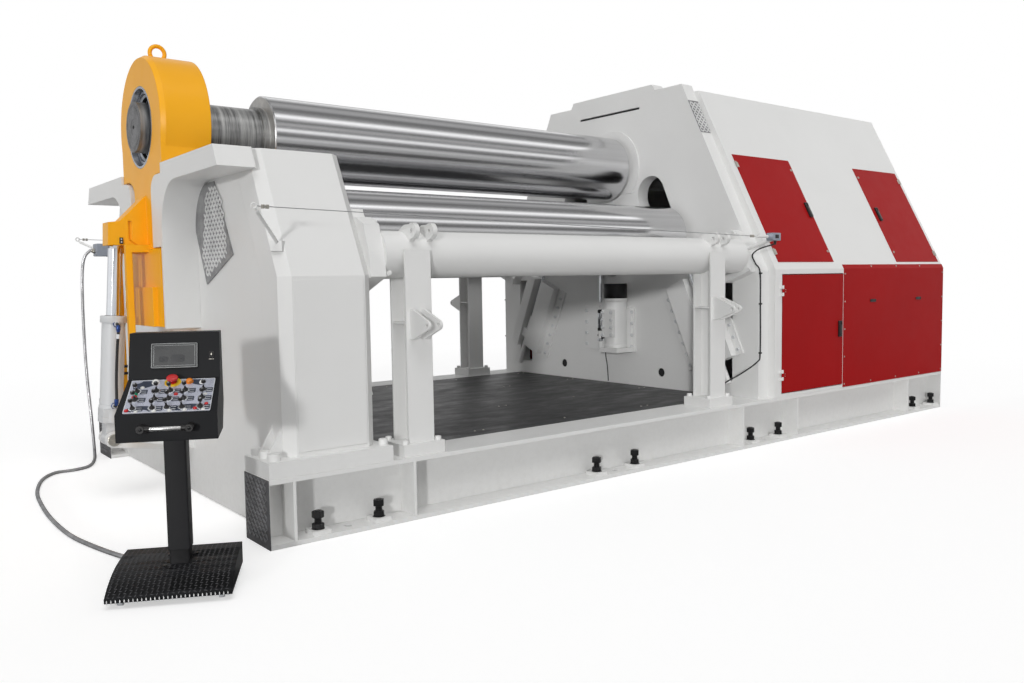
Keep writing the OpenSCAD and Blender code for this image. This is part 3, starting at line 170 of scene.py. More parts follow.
# Sprayed paint: slight clouding, an orange-peel surface, edges with a small radius, dust that settles low
def paint(name, colour, roughness, coat, clouding=0.05, peel=0.00006, edge=0.004, dust=0.0, gloss=0.4):
    material, tree, shader = startMaterial(name, colour, roughness, Coat_Weight=coat, Coat_Roughness=0.12,
                                           Specular_IOR_Level=gloss)
    cloud = addNoise(tree, 1.7, 4)
    tone = addRange(tree, cloud.outputs[0], 0, 1)
    surface = addMix(tree, tone.outputs[0], shaded(colour, 1 - clouding), shaded(colour, 1 + clouding / 2))
    if dust:
        place = addNode(tree, "ShaderNodeSeparateXYZ", {"Vector": objectPlace(tree).outputs[0]})
        low = addRange(tree, place.outputs[2], dust, 0, 0.0, 0.55)
        speck = addNoise(tree, 26, 6, roughness=0.7)
        grain = addRange(tree, speck.outputs[0], 0, 1, 0.42, 0.72)
        amount = addNode(tree, "ShaderNodeMath", {0: low.outputs[0], 1: grain.outputs[0]},
                         operation="MULTIPLY")
        surface = addMix(tree, amount.outputs[0], surface, (0.30, 0.28, 0.25))
    tree.links.new(surface, shader.inputs["Base Color"])
    blotch = addNoise(tree, 9, 3)
    tree.links.new(addRange(tree, blotch.outputs[0], roughness - 0.02, roughness + 0.03).outputs[0],
                   shader.inputs["Roughness"])
    grainHeight = addNoise(tree, 260, 2)
    addBump(tree, shader, grainHeight.outputs[0], peel, 0.35, edge)
    return material


# Turned or ground metal: fine rings around the X axis, so the streaks run along the roll; its colour also
# carries painted reflection streaks along the roll
def groundSteel(name, colour, roughness, ringScale, ringDepth, reflectionStreakContrast=0.12, edge=0.002):
    material, tree, shader = startMaterial(name, colour, roughness, 1.0)
    rings = addNoise(tree, 1.0, 5, (ringScale, 0.6, 0.6), 0.7)
    # paler and darker streaks along the roll, painted into the colour as reflection streaks
    reflectionStreaks = addNoise(tree, 1.0, 3, (0.35, 26, 26))
    tone = addRange(tree, reflectionStreaks.outputs[0], 0, 1, 0.3, 0.7)
    shade = addMix(tree, tone.outputs[0], shaded(colour, 1 - reflectionStreakContrast), shaded(colour, 1 + reflectionStreakContrast / 2))
    tree.links.new(shade, shader.inputs["Base Color"])
    tree.links.new(addRange(tree, rings.outputs[0], roughness * 0.8, roughness * 1.5).outputs[0],
                   shader.inputs["Roughness"])
    addBump(tree, shader, rings.outputs[0], ringDepth, 0.6, edge)
    return material


# The top roll: ground along its body, coarse turned and darker on the shaft beside the drop end
def topRollSteel(facts):
    material, tree, shader = startMaterial("topRollSteel", facts["ground"], 0.2, 1.0)
    place = addNode(tree, "ShaderNodeSeparateXYZ", {"Vector": objectPlace(tree).outputs[0]})
    isShaft = addRange(tree, place.outputs[0], 1, 0, facts["shaftEnd"], facts["shaftEnd"] + 0.004)
    bands = addNoise(tree, 1.0, 6, (34, 1.4, 1.4), 0.75)
    rings = addNoise(tree, 1.0, 5, (900, 0.6, 0.6), 0.7)
    # paler and darker streaks along the ground body, painted into the colour as reflection streaks
    reflectionStreaks = addNoise(tree, 1.0, 3, (0.35, 26, 26))
    bright = addMix(tree, addRange(tree, reflectionStreaks.outputs[0], 0, 1, 0.3, 0.7).outputs[0],
                    shaded(facts["ground"], 0.88), shaded(facts["ground"], 1.05))
    dark = addMix(tree, addRange(tree, bands.outputs[0], 0, 1, 0.36, 0.66).outputs[0],
                  facts["turnedDark"], facts["turnedLight"])
    tree.links.new(addMix(tree, isShaft.outputs[0], bright, dark), shader.inputs["Base Color"])
    fine = addRange(tree, rings.outputs[0], 0.11, 0.2)
    coarse = addRange(tree, bands.outputs[0], 0.28, 0.5)
    roughness = addNode(tree, "ShaderNodeMix", {"Factor": isShaft.outputs[0]})
    tree.links.new(fine.outputs[0], roughness.inputs[2])
    tree.links.new(coarse.outputs[0], roughness.inputs[3])
    tree.links.new(roughness.outputs[0], shader.inputs["Roughness"])
    depth = addNode(tree, "ShaderNodeMix", {"Factor": isShaft.outputs[0]})
    tree.links.new(addRange(tree, rings.outputs[0], 0, 0.1).outputs[0], depth.inputs[2])
    tree.links.new(addRange(tree, bands.outputs[0], 0, 1).outputs[0], depth.inputs[3])
    addBump(tree, shader, depth.outputs[0], 0.0008, 0.7, 0.003)
    return material


# Plain metal, plastic and rubber with a fine grain
def grained(name, colour, roughness, metallic=0.0, scale=160, depth=0.0002, variation=0.12, edge=0.0015,
            **more):
    material, tree, shader = startMaterial(name, colour, roughness, metallic, **more)
    patches = addNoise(tree, 14, 4)
    tone = addRange(tree, patches.outputs[0], 0, 1)
    surface = addMix(tree, tone.outputs[0], shaded(colour, 1 - variation), shaded(colour, 1 + variation))
    tree.links.new(surface, shader.inputs["Base Color"])
    grain = addNoise(tree, scale, 4)
    tree.links.new(addRange(tree, grain.outputs[0], roughness * 0.85, roughness * 1.2).outputs[0],
                   shader.inputs["Roughness"])
    addBump(tree, shader, grain.outputs[0], depth, 0.6, edge)
    return material


# The base's end covers: worn tread plate outside, paint on the inner faces
def coverPlate(facts):
    material, tree, shader = startMaterial("coverPlate", facts["dark"], 0.45)
    place = addNode(tree, "ShaderNodeSeparateXYZ", {"Vector": objectPlace(tree).outputs[0]})
    off = addNode(tree, "ShaderNodeMath", {0: place.outputs[0], 1: facts["middle"]}, operation="SUBTRACT")
    reach = addNode(tree, "ShaderNodeMath", {0: off.outputs[0]}, operation="ABSOLUTE")
    outer = addRange(tree, reach.outputs[0], 0, 1, facts["half"] - 0.004, facts["half"] - 0.003)
    wear = addNoise(tree, 30, 4)
    wearAndLipHighlight = addMix(tree, addRange(tree, wear.outputs[0], 0, 1).outputs[0], shaded(facts["dark"], 0.7),
                  shaded(facts["dark"], 1.5))
    tree.links.new(addMix(tree, outer.outputs[0], facts["paint"], wearAndLipHighlight), shader.inputs["Base Color"])
    tree.links.new(addRange(tree, wear.outputs[0], 0.38, 0.5).outputs[0], shader.inputs["Roughness"])
    addBump(tree, shader, wear.outputs[0], 0.0002, 0.4, 0.0015)
    return material


# The deck: dark painted plate, scuffed, with pale specks
def deckPaint(facts):
    material, tree, shader = startMaterial("deckPaint", facts["colour"], 0.48)
    scuffs = addNoise(tree, 3.2, 6, (1, 2.4, 1), 0.7)
    scuffed = addRange(tree, scuffs.outputs[0], 0, 1, 0.4, 0.7)
    base = addMix(tree, scuffed.outputs[0], facts["colour"], facts["scuffed"])
    specks = addNode(tree, "ShaderNodeTexVoronoi", {"Vector": objectPlace(tree).outputs[0],
                                                    "Scale": facts["speckScale"]})
    dot = addRange(tree, specks.outputs["Distance"], 1, 0, 0.05, 0.11)
    sparse = addRange(tree, addNoise(tree, 5, 2).outputs[0], 0, 0.7, 0.52, 0.62)
    amount = addNode(tree, "ShaderNodeMath", {0: dot.outputs[0], 1: sparse.outputs[0]}, operation="MULTIPLY")
    tree.links.new(addMix(tree, amount.outputs[0], base, (0.42, 0.42, 0.42)), shader.inputs["Base Color"])
    tree.links.new(addRange(tree, scuffs.outputs[0], 0.36, 0.6).outputs[0], shader.inputs["Roughness"])
    addBump(tree, shader, addNoise(tree, 90, 4).outputs[0], 0.0006, 0.5, 0.003)
    return material


whitePaint = paint("whitePaint", (0.80, 0.80, 0.79), 0.42, 0.04, 0.015, 0.00003, edge=0.005, dust=0.1)
# grey-white paint of the drop barrel; on the guide screws it is painted shade, darker than the white plate
greyWhitePaintAndShade = paint("greyWhitePaintAndShade", (0.66, 0.67, 0.68), 0.4, 0.05, 0.02, 0.00003, edge=0.004)
redPaint = paint("redPaint", (0.36, 0.005, 0.006), 0.42, 0.0, 0.04, 0.00003, 0.002, gloss=0.08)
yellowPaint = paint("yellowPaint", (1.0, 0.46, 0.01), 0.36, 0.03, 0.03, 0.00004, edge=0.007, gloss=0.25)
consolePaint = paint("consolePaint", (0.0075, 0.008, 0.0095), 0.5, 0.0, 0.2, 0.0001, 0.003, gloss=0.2)
postPaint = paint("postPaint", (0.018, 0.018, 0.02), 0.5, 0.0, 0.15, 0.0001, 0.003, gloss=0.25)
deckFinish = deckPaint({"colour": (0.030, 0.030, 0.032), "scuffed": (0.052, 0.052, 0.054), "speckScale": 30})
rollSteel = groundSteel("rollSteel", (0.66, 0.66, 0.67), 0.13, 900, 0.00005)
topSteel = topRollSteel({"ground": (0.66, 0.66, 0.67), "turnedDark": (0.17, 0.17, 0.17),
                         "turnedLight": (0.60, 0.60, 0.59), "shaftEnd": corner.x + 0.668})
bearingSteel = grained("bearingSteel", (0.36, 0.38, 0.42), 0.2, 1.0, 60, 0.0001)
faceSteel = grained("faceSteel", (0.17, 0.17, 0.175), 0.42, 1.0, 110, 0.0003, 0.25)
chromeSteel = grained("chromeSteel", (0.72, 0.74, 0.77), 0.07, 1.0, 300, 0.00002, 0.03)
wireSteel = grained("wireSteel", (0.42, 0.42, 0.43), 0.35, 1.0, 500, 0.0002)
conduitSteel = grained("conduitSteel", (0.45, 0.45, 0.46), 0.34, 0.9, 240, 0.0001, 0.2)
darkTread = grained("darkTread", (0.055, 0.055, 0.06), 0.45, 0.2, 120, 0.0005, 0.3)
brightTread = grained("brightTread", (0.30, 0.30, 0.305), 0.5, 0.5, 120, 0.0004, 0.2)
# pale lozenge tops for tread plate; on the console's front lip they are painted highlights
paleTreadAndLipHighlight = grained("paleTreadAndLipHighlight", (0.72, 0.72, 0.72), 0.34, 0.6, 120, 0.0003, 0.1)
wornTread = grained("wornTread", (0.14, 0.14, 0.145), 0.4, 0.4, 120, 0.0004, 0.3)
blackOxide = grained("blackOxide", (0.012, 0.012, 0.013), 0.38, 0.4, 180, 0.0003, 0.3)
blackRubber = grained("blackRubber", (0.012, 0.012, 0.013), 0.6, 0.0, 300, 0.0003, 0.2)
blackPlastic = grained("blackPlastic", (0.015, 0.014, 0.014), 0.35, 0.0, 260, 0.0002, 0.15)
greyCasting = grained("greyCasting", (0.33, 0.36, 0.42), 0.45, 0.35, 140, 0.0005, 0.1, 0.003)
zincPlate = grained("zincPlate", (0.50, 0.48, 0.43), 0.35, 0.9, 200, 0.0002, 0.15)
panelSilver = grained("panelSilver", (0.58, 0.60, 0.70), 0.3, 0.45, 320, 0.00008, 0.06, 0.0)
panelDark = grained("panelDark", (0.045, 0.055, 0.085), 0.35, 0.2, 320, 0.00008, 0.15, 0.0)
panelWhite = grained("panelWhite", (0.75, 0.77, 0.8), 0.35, 0.0, 200, 0.00005, 0.03, 0.0)
screenGlass = grained("screenGlass", (0.022, 0.024, 0.025), 0.12, 0.0, 30, 0.00001, 0.25, 0.0,
                      Coat_Weight=0.6)
screenShade = grained("screenShade", (0.045, 0.047, 0.05), 0.3, 0.0, 30, 0.00001, 0.2, 0.0)
screenLine = grained("screenLine", (0.30, 0.31, 0.31), 0.35, 0.5, 300, 0.00005, 0.05, 0.0)
signalRed = grained("signalRed", (0.55, 0.018, 0.02), 0.22, 0.0, 200, 0.00005, 0.05, Coat_Weight=0.4)
signalGreen = grained("signalGreen", (0.01, 0.28, 0.13), 0.25, 0.0, 200, 0.00005, 0.05)
signalYellow = grained("signalYellow", (0.85, 0.55, 0.01), 0.35, 0.0, 200, 0.00005, 0.05)
signalOrange = grained("signalOrange", (0.85, 0.24, 0.01), 0.2, 0.0, 200, 0.00005, 0.05, Coat_Weight=0.4)
lampWhite = grained("lampWhite", (0.82, 0.82, 0.80), 0.2, 0.0, 200, 0.00005, 0.03, Coat_Weight=0.4)
fittingBlue = grained("fittingBlue", (0.02, 0.055, 0.22), 0.3, 0.5, 200, 0.0002, 0.1)
print("materials made:", len(bpy.data.materials))

# Finishes of the frame's own nodes
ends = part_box("beam_end_covers")
endCover = coverPlate({"dark": (0.05, 0.05, 0.054), "paint": (0.74, 0.74, 0.73),
                       "middle": (ends[0][0] + ends[1][0]) / 2, "half": (ends[1][0] - ends[0][0]) / 2})
finishes = [
    (whitePaint, "main_beams cross_members left_columns left_outer_wall left_inner_wall left_roof yoke "
                 "left_guards drop_brackets right_plate guide_boxes lower_lift_units tie_tubes posts "
                 "housing_sides housing_end housing_roof wire_brackets"),
    (greyWhitePaintAndShade, "drop_barrel"),
    (redPaint, "front_service_door back_service_door fixed_doors"),
    (yellowPaint, "drop_end lifting_eye"),
    (deckFinish, "deck"),
    (endCover, "beam_end_covers"),
    (brightTread, "checker_covers"),
    (bearingSteel, "drop_bearing"),
    (chromeSteel, "drop_rod lower_bearings front_bearings back_bearings"),
    (rollSteel, "lower_roll front_roll back_roll"),
    (topSteel, "top_roll"),
    (wireSteel, "safety_wires"),
    (blackRubber, "switch_cable drop_hose"),
    (consolePaint, "console_desk"),
]
for material, names in finishes:
    for name in names.split():
        slots = nodes[name].material_slots
        for slot in slots:
            slot.material = material


# Mesh helpers, in millimetres
def addBox(bm, low, high, bevel=0.0):
    size = [b - a for a, b in zip(low, high)]
    middle = [(a + b) / 2 for a, b in zip(low, high)]
    made = bmesh.ops.create_cube(bm, size=1)["verts"]
    bmesh.ops.scale(bm, vec=size, verts=made)
    bmesh.ops.translate(bm, vec=middle, verts=made)
    if bevel:
        edges = {e for v in made for e in v.link_edges}
        bmesh.ops.bevel(bm, geom=list(edges), offset=bevel, segments=2, profile=0.7, affect="EDGES")


def joinLoops(bm, low, high):
    count = len(low)
    for k in range(count):
        n = (k + 1) % count
        bm.faces.new((low[k], low[n], high[n], high[k]))


# One ring of points for each (distance along the axis, radius)
def ringsAlong(bm, profile, start, axis, segments):
    turn = Vector((0, 0, 1)).rotation_difference(Vector(axis)).to_matrix()
    angles = [2 * math.pi * k / segments for k in range(segments)]
    rings = []
    for along, radius in profile:
        local = [Vector((radius * math.cos(a), radius * math.sin(a), along)) for a in angles]
        rings.append([bm.verts.new(Vector(start) + turn @ q) for q in local])
    return rings


# A turned shape with closed ends, or a sleeve where it has a bore
def addTurned(bm, profile, start=(0, 0, 0), axis=(0, 0, 1), segments=32, bore=0):
    if bore:
        profile = [(profile[0][0], bore), *profile, (profile[-1][0], bore)]
    rings = ringsAlong(bm, profile, start, axis, segments)
    for low, high in zip(rings, rings[1:]):
        joinLoops(bm, low, high)
    if bore:
        joinLoops(bm, rings[-1], rings[0])
        return
    bm.faces.new(rings[0][::-1])
    bm.faces.new(rings[-1])


# A ring whose closed section is turned round the axis
def addRing(bm, section, start, axis, segments):
    rings = ringsAlong(bm, section, start, axis, segments)
    for low, high in zip(rings, rings[1:] + rings[:1]):
        joinLoops(bm, low, high)


# A flat outline in X and Y, raised from z0 to z1
def addPrism(bm, outline, z0, z1):
    low = [bm.verts.new((x, y, z0)) for x, y in outline]
    high = [bm.verts.new((x, y, z1)) for x, y in outline]
    joinLoops(bm, low, high)
    bm.faces.new(low[::-1])
    bm.faces.new(high)


def roundedOutline(x0, y0, x1, y1, radius, steps=5):
    points = []
    for cx, cy, first in ((x1 - radius, y1 - radius, 0), (x0 + radius, y1 - radius, 90),
                          (x0 + radius, y0 + radius, 180), (x1 - radius, y0 + radius, 270)):
        for k in range(steps + 1):
            a = math.radians(first + 90 * k / steps)
            points.append((cx + radius * math.cos(a), cy + radius * math.sin(a)))
    return points


# A frame of even width around a rounded outline
def addRim(bm, x0, y0, x1, y1, radius, width, z0, z1):
    outer = roundedOutline(x0, y0, x1, y1, radius)
    inner = roundedOutline(x0 + width, y0 + width, x1 - width, y1 - width, max(radius - width, 0.5))
    rows = [[bm.verts.new((x, y, z)) for x, y in line] for line, z in
            ((outer, z0), (outer, z1), (inner, z1), (inner, z0))]
    for low, high in zip(rows, rows[1:] + rows[:1]):
        joinLoops(bm, low, high)


def smoothRoute(points, steps):
    route = []
    count = len(points)
    p = [Vector(q) for q in points]
    for i in range(count - 1):
        a = p[i - 1] if i else 2 * p[0] - p[1]
        b, c = p[i], p[i + 1]
        d = p[i + 2] if i < count - 2 else 2 * p[count - 1] - p[count - 2]
        for j in range(steps):
            t = j / steps
            route.append(0.5 * (2 * b + (c - a) * t + (2 * a - 5 * b + 4 * c - d) * t * t
                                + (3 * b - a - 3 * c + d) * t ** 3))
    route.append(p[-1])
    return route


def addTube(bm, points, radius, sides=12):
    spine = [Vector(q) for q in points]
    rings = []
    side = Vector((0.31, 0.52, 0.79))
    for i, q in enumerate(spine):
        ahead = (spine[min(i + 1, len(spine) - 1)] - spine[max(i - 1, 0)]).normalized()
        side = (side - ahead * side.dot(ahead)).normalized()
        other = ahead.cross(side)
        rings.append([bm.verts.new(q + radius * (side * math.cos(2 * math.pi * k / sides)
                                                 + other * math.sin(2 * math.pi * k / sides)))
                      for k in range(sides)])
    for low, high in zip(rings, rings[1:]):
        joinLoops(bm, low, high)
    bm.faces.new(rings[0][::-1])
    bm.faces.new(rings[-1])


def settle(obj, body, stands=()):
    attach(obj, body)
    if stands:
        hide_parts(*stands)
    return obj


def makePiece(name, bm, place, material, body="frame", stands=(), smooth=32):
    bmesh.ops.recalc_face_normals(bm, faces=bm.faces)
    mesh = bpy.data.meshes.new(name)
    bm.transform(place)
    if place.determinant() < 0:
        bmesh.ops.reverse_faces(bm, faces=bm.faces)
    bm.to_mesh(mesh)
    bm.free()
    mesh.materials.append(material)
    mesh.shade_smooth()
    mesh.set_sharp_from_angle(angle=math.radians(smooth))
    obj = bpy.data.objects.new(name, mesh)
    scene.collection.objects.link(obj)
    return settle(obj, body, stands)


# Geometry Nodes set what repeats on points. This starts such a tree and names its inputs; it gives the
# tree, its input node and each input's identifier
def startTree(name, source, rows, result):
    tree = bpy.data.node_groups.new(name, "GeometryNodeTree")
    face = tree.interface
    face.new_socket(source, in_out="INPUT", socket_type="NodeSocketGeometry")
    inputs = {}
    for label, kind in rows:
        inputs[label] = face.new_socket(label, in_out="INPUT", socket_type="NodeSocket" + kind).identifier
    face.new_socket(result, in_out="OUTPUT", socket_type="NodeSocketGeometry")
    return tree, addNode(tree, "NodeGroupInput"), inputs


def endTree(tree, shape, finish):
    real = addNode(tree, "GeometryNodeRealizeInstances", {"Geometry": shape})
    painted = addNode(tree, "GeometryNodeSetMaterial", {"Geometry": real.outputs[0], "Material": finish})
    end = addNode(tree, "NodeGroupOutput")
    tree.links.new(painted.outputs[0], end.inputs[0])


def useTree(holder, tree, inputs, values):
    modifier = holder.modifiers.new("shape", "NODES")
    modifier.node_group = tree
    for label, value in values.items():
        modifier[inputs[label]] = value


def buildStampTree():
    rows = [("Stamp", "Object"), ("Size", "Float"), ("Random turn", "Float"), ("Seed", "Int"),
            ("Finish", "Material")]
    tree, start, inputs = startTree("setStamps", "Points", rows, "Stamps")
    stamp = addNode(tree, "GeometryNodeObjectInfo", {"Object": start.outputs["Stamp"]})
    facing = addNode(tree, "GeometryNodeInputNamedAttribute", {"Name": "facing"}, data_type="FLOAT_VECTOR")
    spin = addNode(tree, "GeometryNodeInputNamedAttribute", {"Name": "spin"}, data_type="FLOAT")
    chance = addNode(tree, "FunctionNodeRandomValue", {"Seed": start.outputs["Seed"]}, data_type="FLOAT")
    loose = addNode(tree, "ShaderNodeMath", {0: chance.outputs[1], 1: start.outputs["Random turn"]},
                    operation="MULTIPLY")
    angle = addNode(tree, "ShaderNodeMath", {0: spin.outputs[0], 1: loose.outputs[0]}, operation="ADD")
    aim = addNode(tree, "FunctionNodeAlignRotationToVector", {"Vector": facing.outputs[0]}, axis="Z")
    twist = addNode(tree, "FunctionNodeAxisAngleToRotation", {"Angle": angle.outputs[0]})
    turn = addNode(tree, "FunctionNodeRotateRotation", rotation_space="LOCAL")
    tree.links.new(aim.outputs[0], turn.inputs[0])
    tree.links.new(twist.outputs[0], turn.inputs[1])
    put = addNode(tree, "GeometryNodeInstanceOnPoints", {"Points": start.outputs["Points"],
                                                         "Instance": stamp.outputs["Geometry"],
                                                         "Rotation": turn.outputs[0]})
    tree.links.new(start.outputs["Size"], put.inputs["Scale"])
    endTree(tree, put.outputs[0], start.outputs["Finish"])
    return tree, inputs


stampTree, stampInputs = buildStampTree()


def makeStamp(name, bm, smooth=35):
    bmesh.ops.recalc_face_normals(bm, faces=bm.faces)
    bm.transform(Matrix.Scale(0.001, 4))
    mesh = bpy.data.meshes.new(name)
    bm.to_mesh(mesh)
    bm.free()
    mesh.shade_smooth()
    mesh.set_sharp_from_angle(angle=math.radians(smooth))
    return bpy.data.objects.new(name, mesh)


# Settles a Geometry Nodes result into a plain mesh at the origin
def freeze(obj, name, material):
    scene.collection.objects.link(obj)
    bpy.context.view_layer.update()
    shown = obj.evaluated_get(bpy.context.evaluated_depsgraph_get())
    mesh = bpy.data.meshes.new_from_object(shown)
    mesh.name = name
    mesh.materials.clear()
    mesh.materials.append(material)
    for polygon in mesh.polygons:
        polygon.material_index = 0
    obj.modifiers.clear()
    bpy.data.objects.remove(obj)
    result = bpy.data.objects.new(name, mesh)
    scene.collection.objects.link(result)
    return result


# Places is a list of (frame, place, facing, spin in degrees)
def stampOn(name, stamp, places, material, body="frame", size=1.0, loose=0.0, seed=3,
            stands=()):
    mesh = bpy.data.meshes.new(name + "Points")
    mesh.from_pydata([tuple(base @ Vector(place)) for base, place, facing, spin in places], [], [])
    mesh.attributes.new("facing", "FLOAT_VECTOR", "POINT")
    mesh.attributes.new("spin", "FLOAT", "POINT")
    facing, spin = mesh.attributes["facing"].data, mesh.attributes["spin"].data
    for k, (base, place, direction, degrees) in enumerate(places):
        facing[k].vector = (base.to_3x3() @ Vector(direction)).normalized()
        spin[k].value = math.radians(degrees)
    holder = bpy.data.objects.new(name + "Points", mesh)
    useTree(holder, stampTree, stampInputs, {"Stamp": stamp, "Size": size, "Random turn": loose,
                                             "Seed": seed, "Finish": material})
    return settle(freeze(holder, name, material), body, stands)


# A cap screw with a hexagon socket, given its head radius, head height and socket radius
def capScrewStamp(name, radius, height, socket):
    bm = bmesh.new()
    profile = [(-1, radius), (height * 0.82, radius), (height, radius * 0.86)]
    addTurned(bm, profile, segments=24)
    top = max(bm.faces, key=lambda f: f.calc_center_median().z + f.calc_area() * 1e-3)
    bmesh.ops.inset_region(bm, faces=[top], thickness=radius * 0.86 - socket, depth=0)
    for v in top.verts:
        flat = Vector((v.co.x, v.co.y))
        a = math.atan2(flat.y, flat.x)
        sector = (a + math.pi / 6) % (math.pi / 3) - math.pi / 6
        reach = socket * math.cos(math.pi / 6) / math.cos(sector)
        v.co.x, v.co.y = reach * math.cos(a), reach * math.sin(a)
    lowered = bmesh.ops.extrude_discrete_faces(bm, faces=[top])["faces"][0]
    bmesh.ops.translate(bm, vec=(0, 0, -height * 0.55), verts=lowered.verts)
    return makeStamp(name, bm)


# A button head with one slot
def buttonStamp(name, radius, height):
    bm = bmesh.new()
    profile = [(-0.5, radius), (height * 0.3, radius)]
    for k in range(1, 4):
        a = math.radians(22 * k)
        rise = 0.3 + 0.7 * math.sin(a) / math.sin(math.radians(66))
        profile.append((height * rise, radius * math.cos(a)))
    addTurned(bm, profile, segments=14)
    addBox(bm, (-radius * 0.34, -radius * 0.07, height * 0.7), (radius * 0.34, radius * 0.07, height * 1.04))
    return makeStamp(name, bm)


# A raised lozenge of tread plate
def lozengeStamp(name, length, width, height):
    bm = bmesh.new()
    outline = [(0.5, 0), (0.28, 0.36), (0, 0.5), (-0.28, 0.36), (-0.5, 0), (-0.28, -0.36), (0, -0.5),
               (0.28, -0.36)]
    low = [bm.verts.new((x * length, y * width, 0)) for x, y in outline]
    high = [bm.verts.new((x * length * 0.72, y * width * 0.6, height)) for x, y in outline]
    joinLoops(bm, low, high)
    bm.faces.new(high)
    return makeStamp(name, bm, 60)


bigScrew = capScrewStamp("bigScrew", 31.8, 33, 15)
wallScrew = capScrewStamp("wallScrew", 23.6, 33, 11)
footScrew = capScrewStamp("footScrew", 17.6, 20, 8)
guideScrew = capScrewStamp("guideScrew", 14, 14, 7)
panelScrew = buttonStamp("panelScrew", 7, 4)
smallScrew = buttonStamp("smallScrew", 4, 2.2)
lozenge = lozengeStamp("lozenge", 38, 13, 3.4)
fineLozenge = lozengeStamp("fineLozenge", 17, 4.6, 1.2)
lipLozenge = lozengeStamp("lipLozenge", 23, 4.6, 1.4)
print("stamps made")


# Tread plate pattern on the beams' end covers and the checker covers
treadFacts = {"pitch": 23, "endCover": [(4, 4), (288, 4), (288, 328), (4, 328)],
              "endFaces": ((0, -1), (6508, 1)),
              "wallCover": [(700, 1404), (1036, 1268), (1100, 1400), (1010, 1760), (860, 1790), (760, 1700)],
              "wallFace": 117, "strip": [(0, 0), (115, 0), (115, 290), (0, 290)], "stripX": 3813,
              "stripTop": 2357, "stripLean": 26.3}


def treadPlaces(base, outline, pitch, facing, toSpace, edge):
    places = []
    xs = [p[0] for p in outline]
    ys = [p[1] for p in outline]
    rows = int((max(ys) - min(ys)) / pitch)
    columns = int((max(xs) - min(xs)) / pitch)
    count = len(outline)
    for r in range(rows + 1):
        for c in range(columns + 1):
            x, y = min(xs) + (c + 0.5) * pitch, min(ys) + (r + 0.5) * pitch
            inside = True
            for k in range(count):
                (ax, ay), (bx, by) = outline[k], outline[(k + 1) % count]
                length = math.hypot(bx - ax, by - ay)
                if ((bx - ax) * (y - ay) - (by - ay) * (x - ax)) / length < edge:
                    inside = False
            if inside:
                places.append((base, toSpace(x, y), facing, 45 if (r + c) % 2 else -45))
    return places


def makeTread(facts):
    pitch, lean = facts["pitch"], facts["stripLean"]
    stripY = 60 + (facts["stripTop"] - 1280) * math.tan(math.radians(lean))
    endPlaces = []
    coverPlaces = []
    for tag, side in bothSides:
        for face, direction in facts["endFaces"]:
            endPlaces += treadPlaces(side, facts["endCover"], pitch, (direction, 0, 0),
                                     lambda x, y: (face, x, y), 12)
        coverPlaces += treadPlaces(side, facts["wallCover"], pitch, (-1, 0, 0),
                                   lambda x, y: (facts["wallFace"], x, y), 10)
        strip = side @ turned((facts["stripX"], stripY, facts["stripTop"]), "X", -lean)
        coverPlaces += treadPlaces(strip, facts["strip"], pitch, (0, -1, 0), lambda x, y: (x, -5.02, y), 8)
    stampOn("endCoverTread", lozenge, endPlaces, wornTread)
    stampOn("checkerTread", lozenge, coverPlaces, paleTreadAndLipHighlight)


makeTread(treadFacts)
print("tread plates done")


# Bolts and screws on the frames
screwFacts = {"footScrews": [(62, 66), (62, 166), (62, 266)], "wallScrew": (648, 60), "footTop": 410,
              "posts": (877, 3338), "postTop": 397, "guideFaces": ((634, 1), (3802, -1)), "guideRow": 7,
              "guideEdges": ((206, -1036, 94), (-270, -1080, 98)), "liftFaces": ((640, 1), (3796, -1))}


def makeScrews(facts):
    large, medium, small, guide = [], [], [], []
    for tag, side in bothSides:
        for x, y in facts["footScrews"]:
            large.append((side, (x, y, facts["footTop"]), (0, 0, 1), 0))
        medium.append((side, (*facts["wallScrew"], facts["footTop"]), (0, 0, 1), 0))
        for postX in facts["posts"]:
            for dx in (-102, 102):
                for y in (50, 222):
                    small.append((side, (postX + dx, y, facts["postTop"]), (0, 0, 1), 0))
        for face, direction in facts["guideFaces"]:
            for k in range(facts["guideRow"]):
                for y, first, step in facts["guideEdges"]:
                    guide.append((side @ rollGuide, (face, y, first + k * step), (direction, 0, 0), 0))
    for face, direction in facts["liftFaces"]:
        for y in (-255, 300):
            for k in range(4):
                guide.append((machine, (face, midY + y, 660 + 98 * k), (direction, 0, 0), 0))
        for y in (-215, -115):
            for k in range(4):
                unitFace = face + 209 * direction
                guide.append((machine, (unitFace, midY + y, 768 + 62 * k), (direction, 0, 0), 0))
    loose = math.pi / 3
    stampOn("footBolts", bigScrew, large, whitePaint, loose=loose)
    stampOn("wallBolts", wallScrew, medium, whitePaint, loose=loose)
    stampOn("postScrews", footScrew, small, whitePaint, loose=loose)
    # the guide screws take the grey-white paint as painted shade, standing in for the shadows round them
    stampOn("guideScrews", guideScrew, guide, greyWhitePaintAndShade, loose=loose)


makeScrews(screwFacts)


# Leveling bolts: a threaded jack bolt with a nut and a head
levelingFacts = {"stations": [442, 2333, 3898, 6276], "halfPitch": 170, "y": 60, "shank": 18.2, "thread": 4.0,
                 "halfFlats": 26, "nut": (44, 72), "head": (98, 132)}


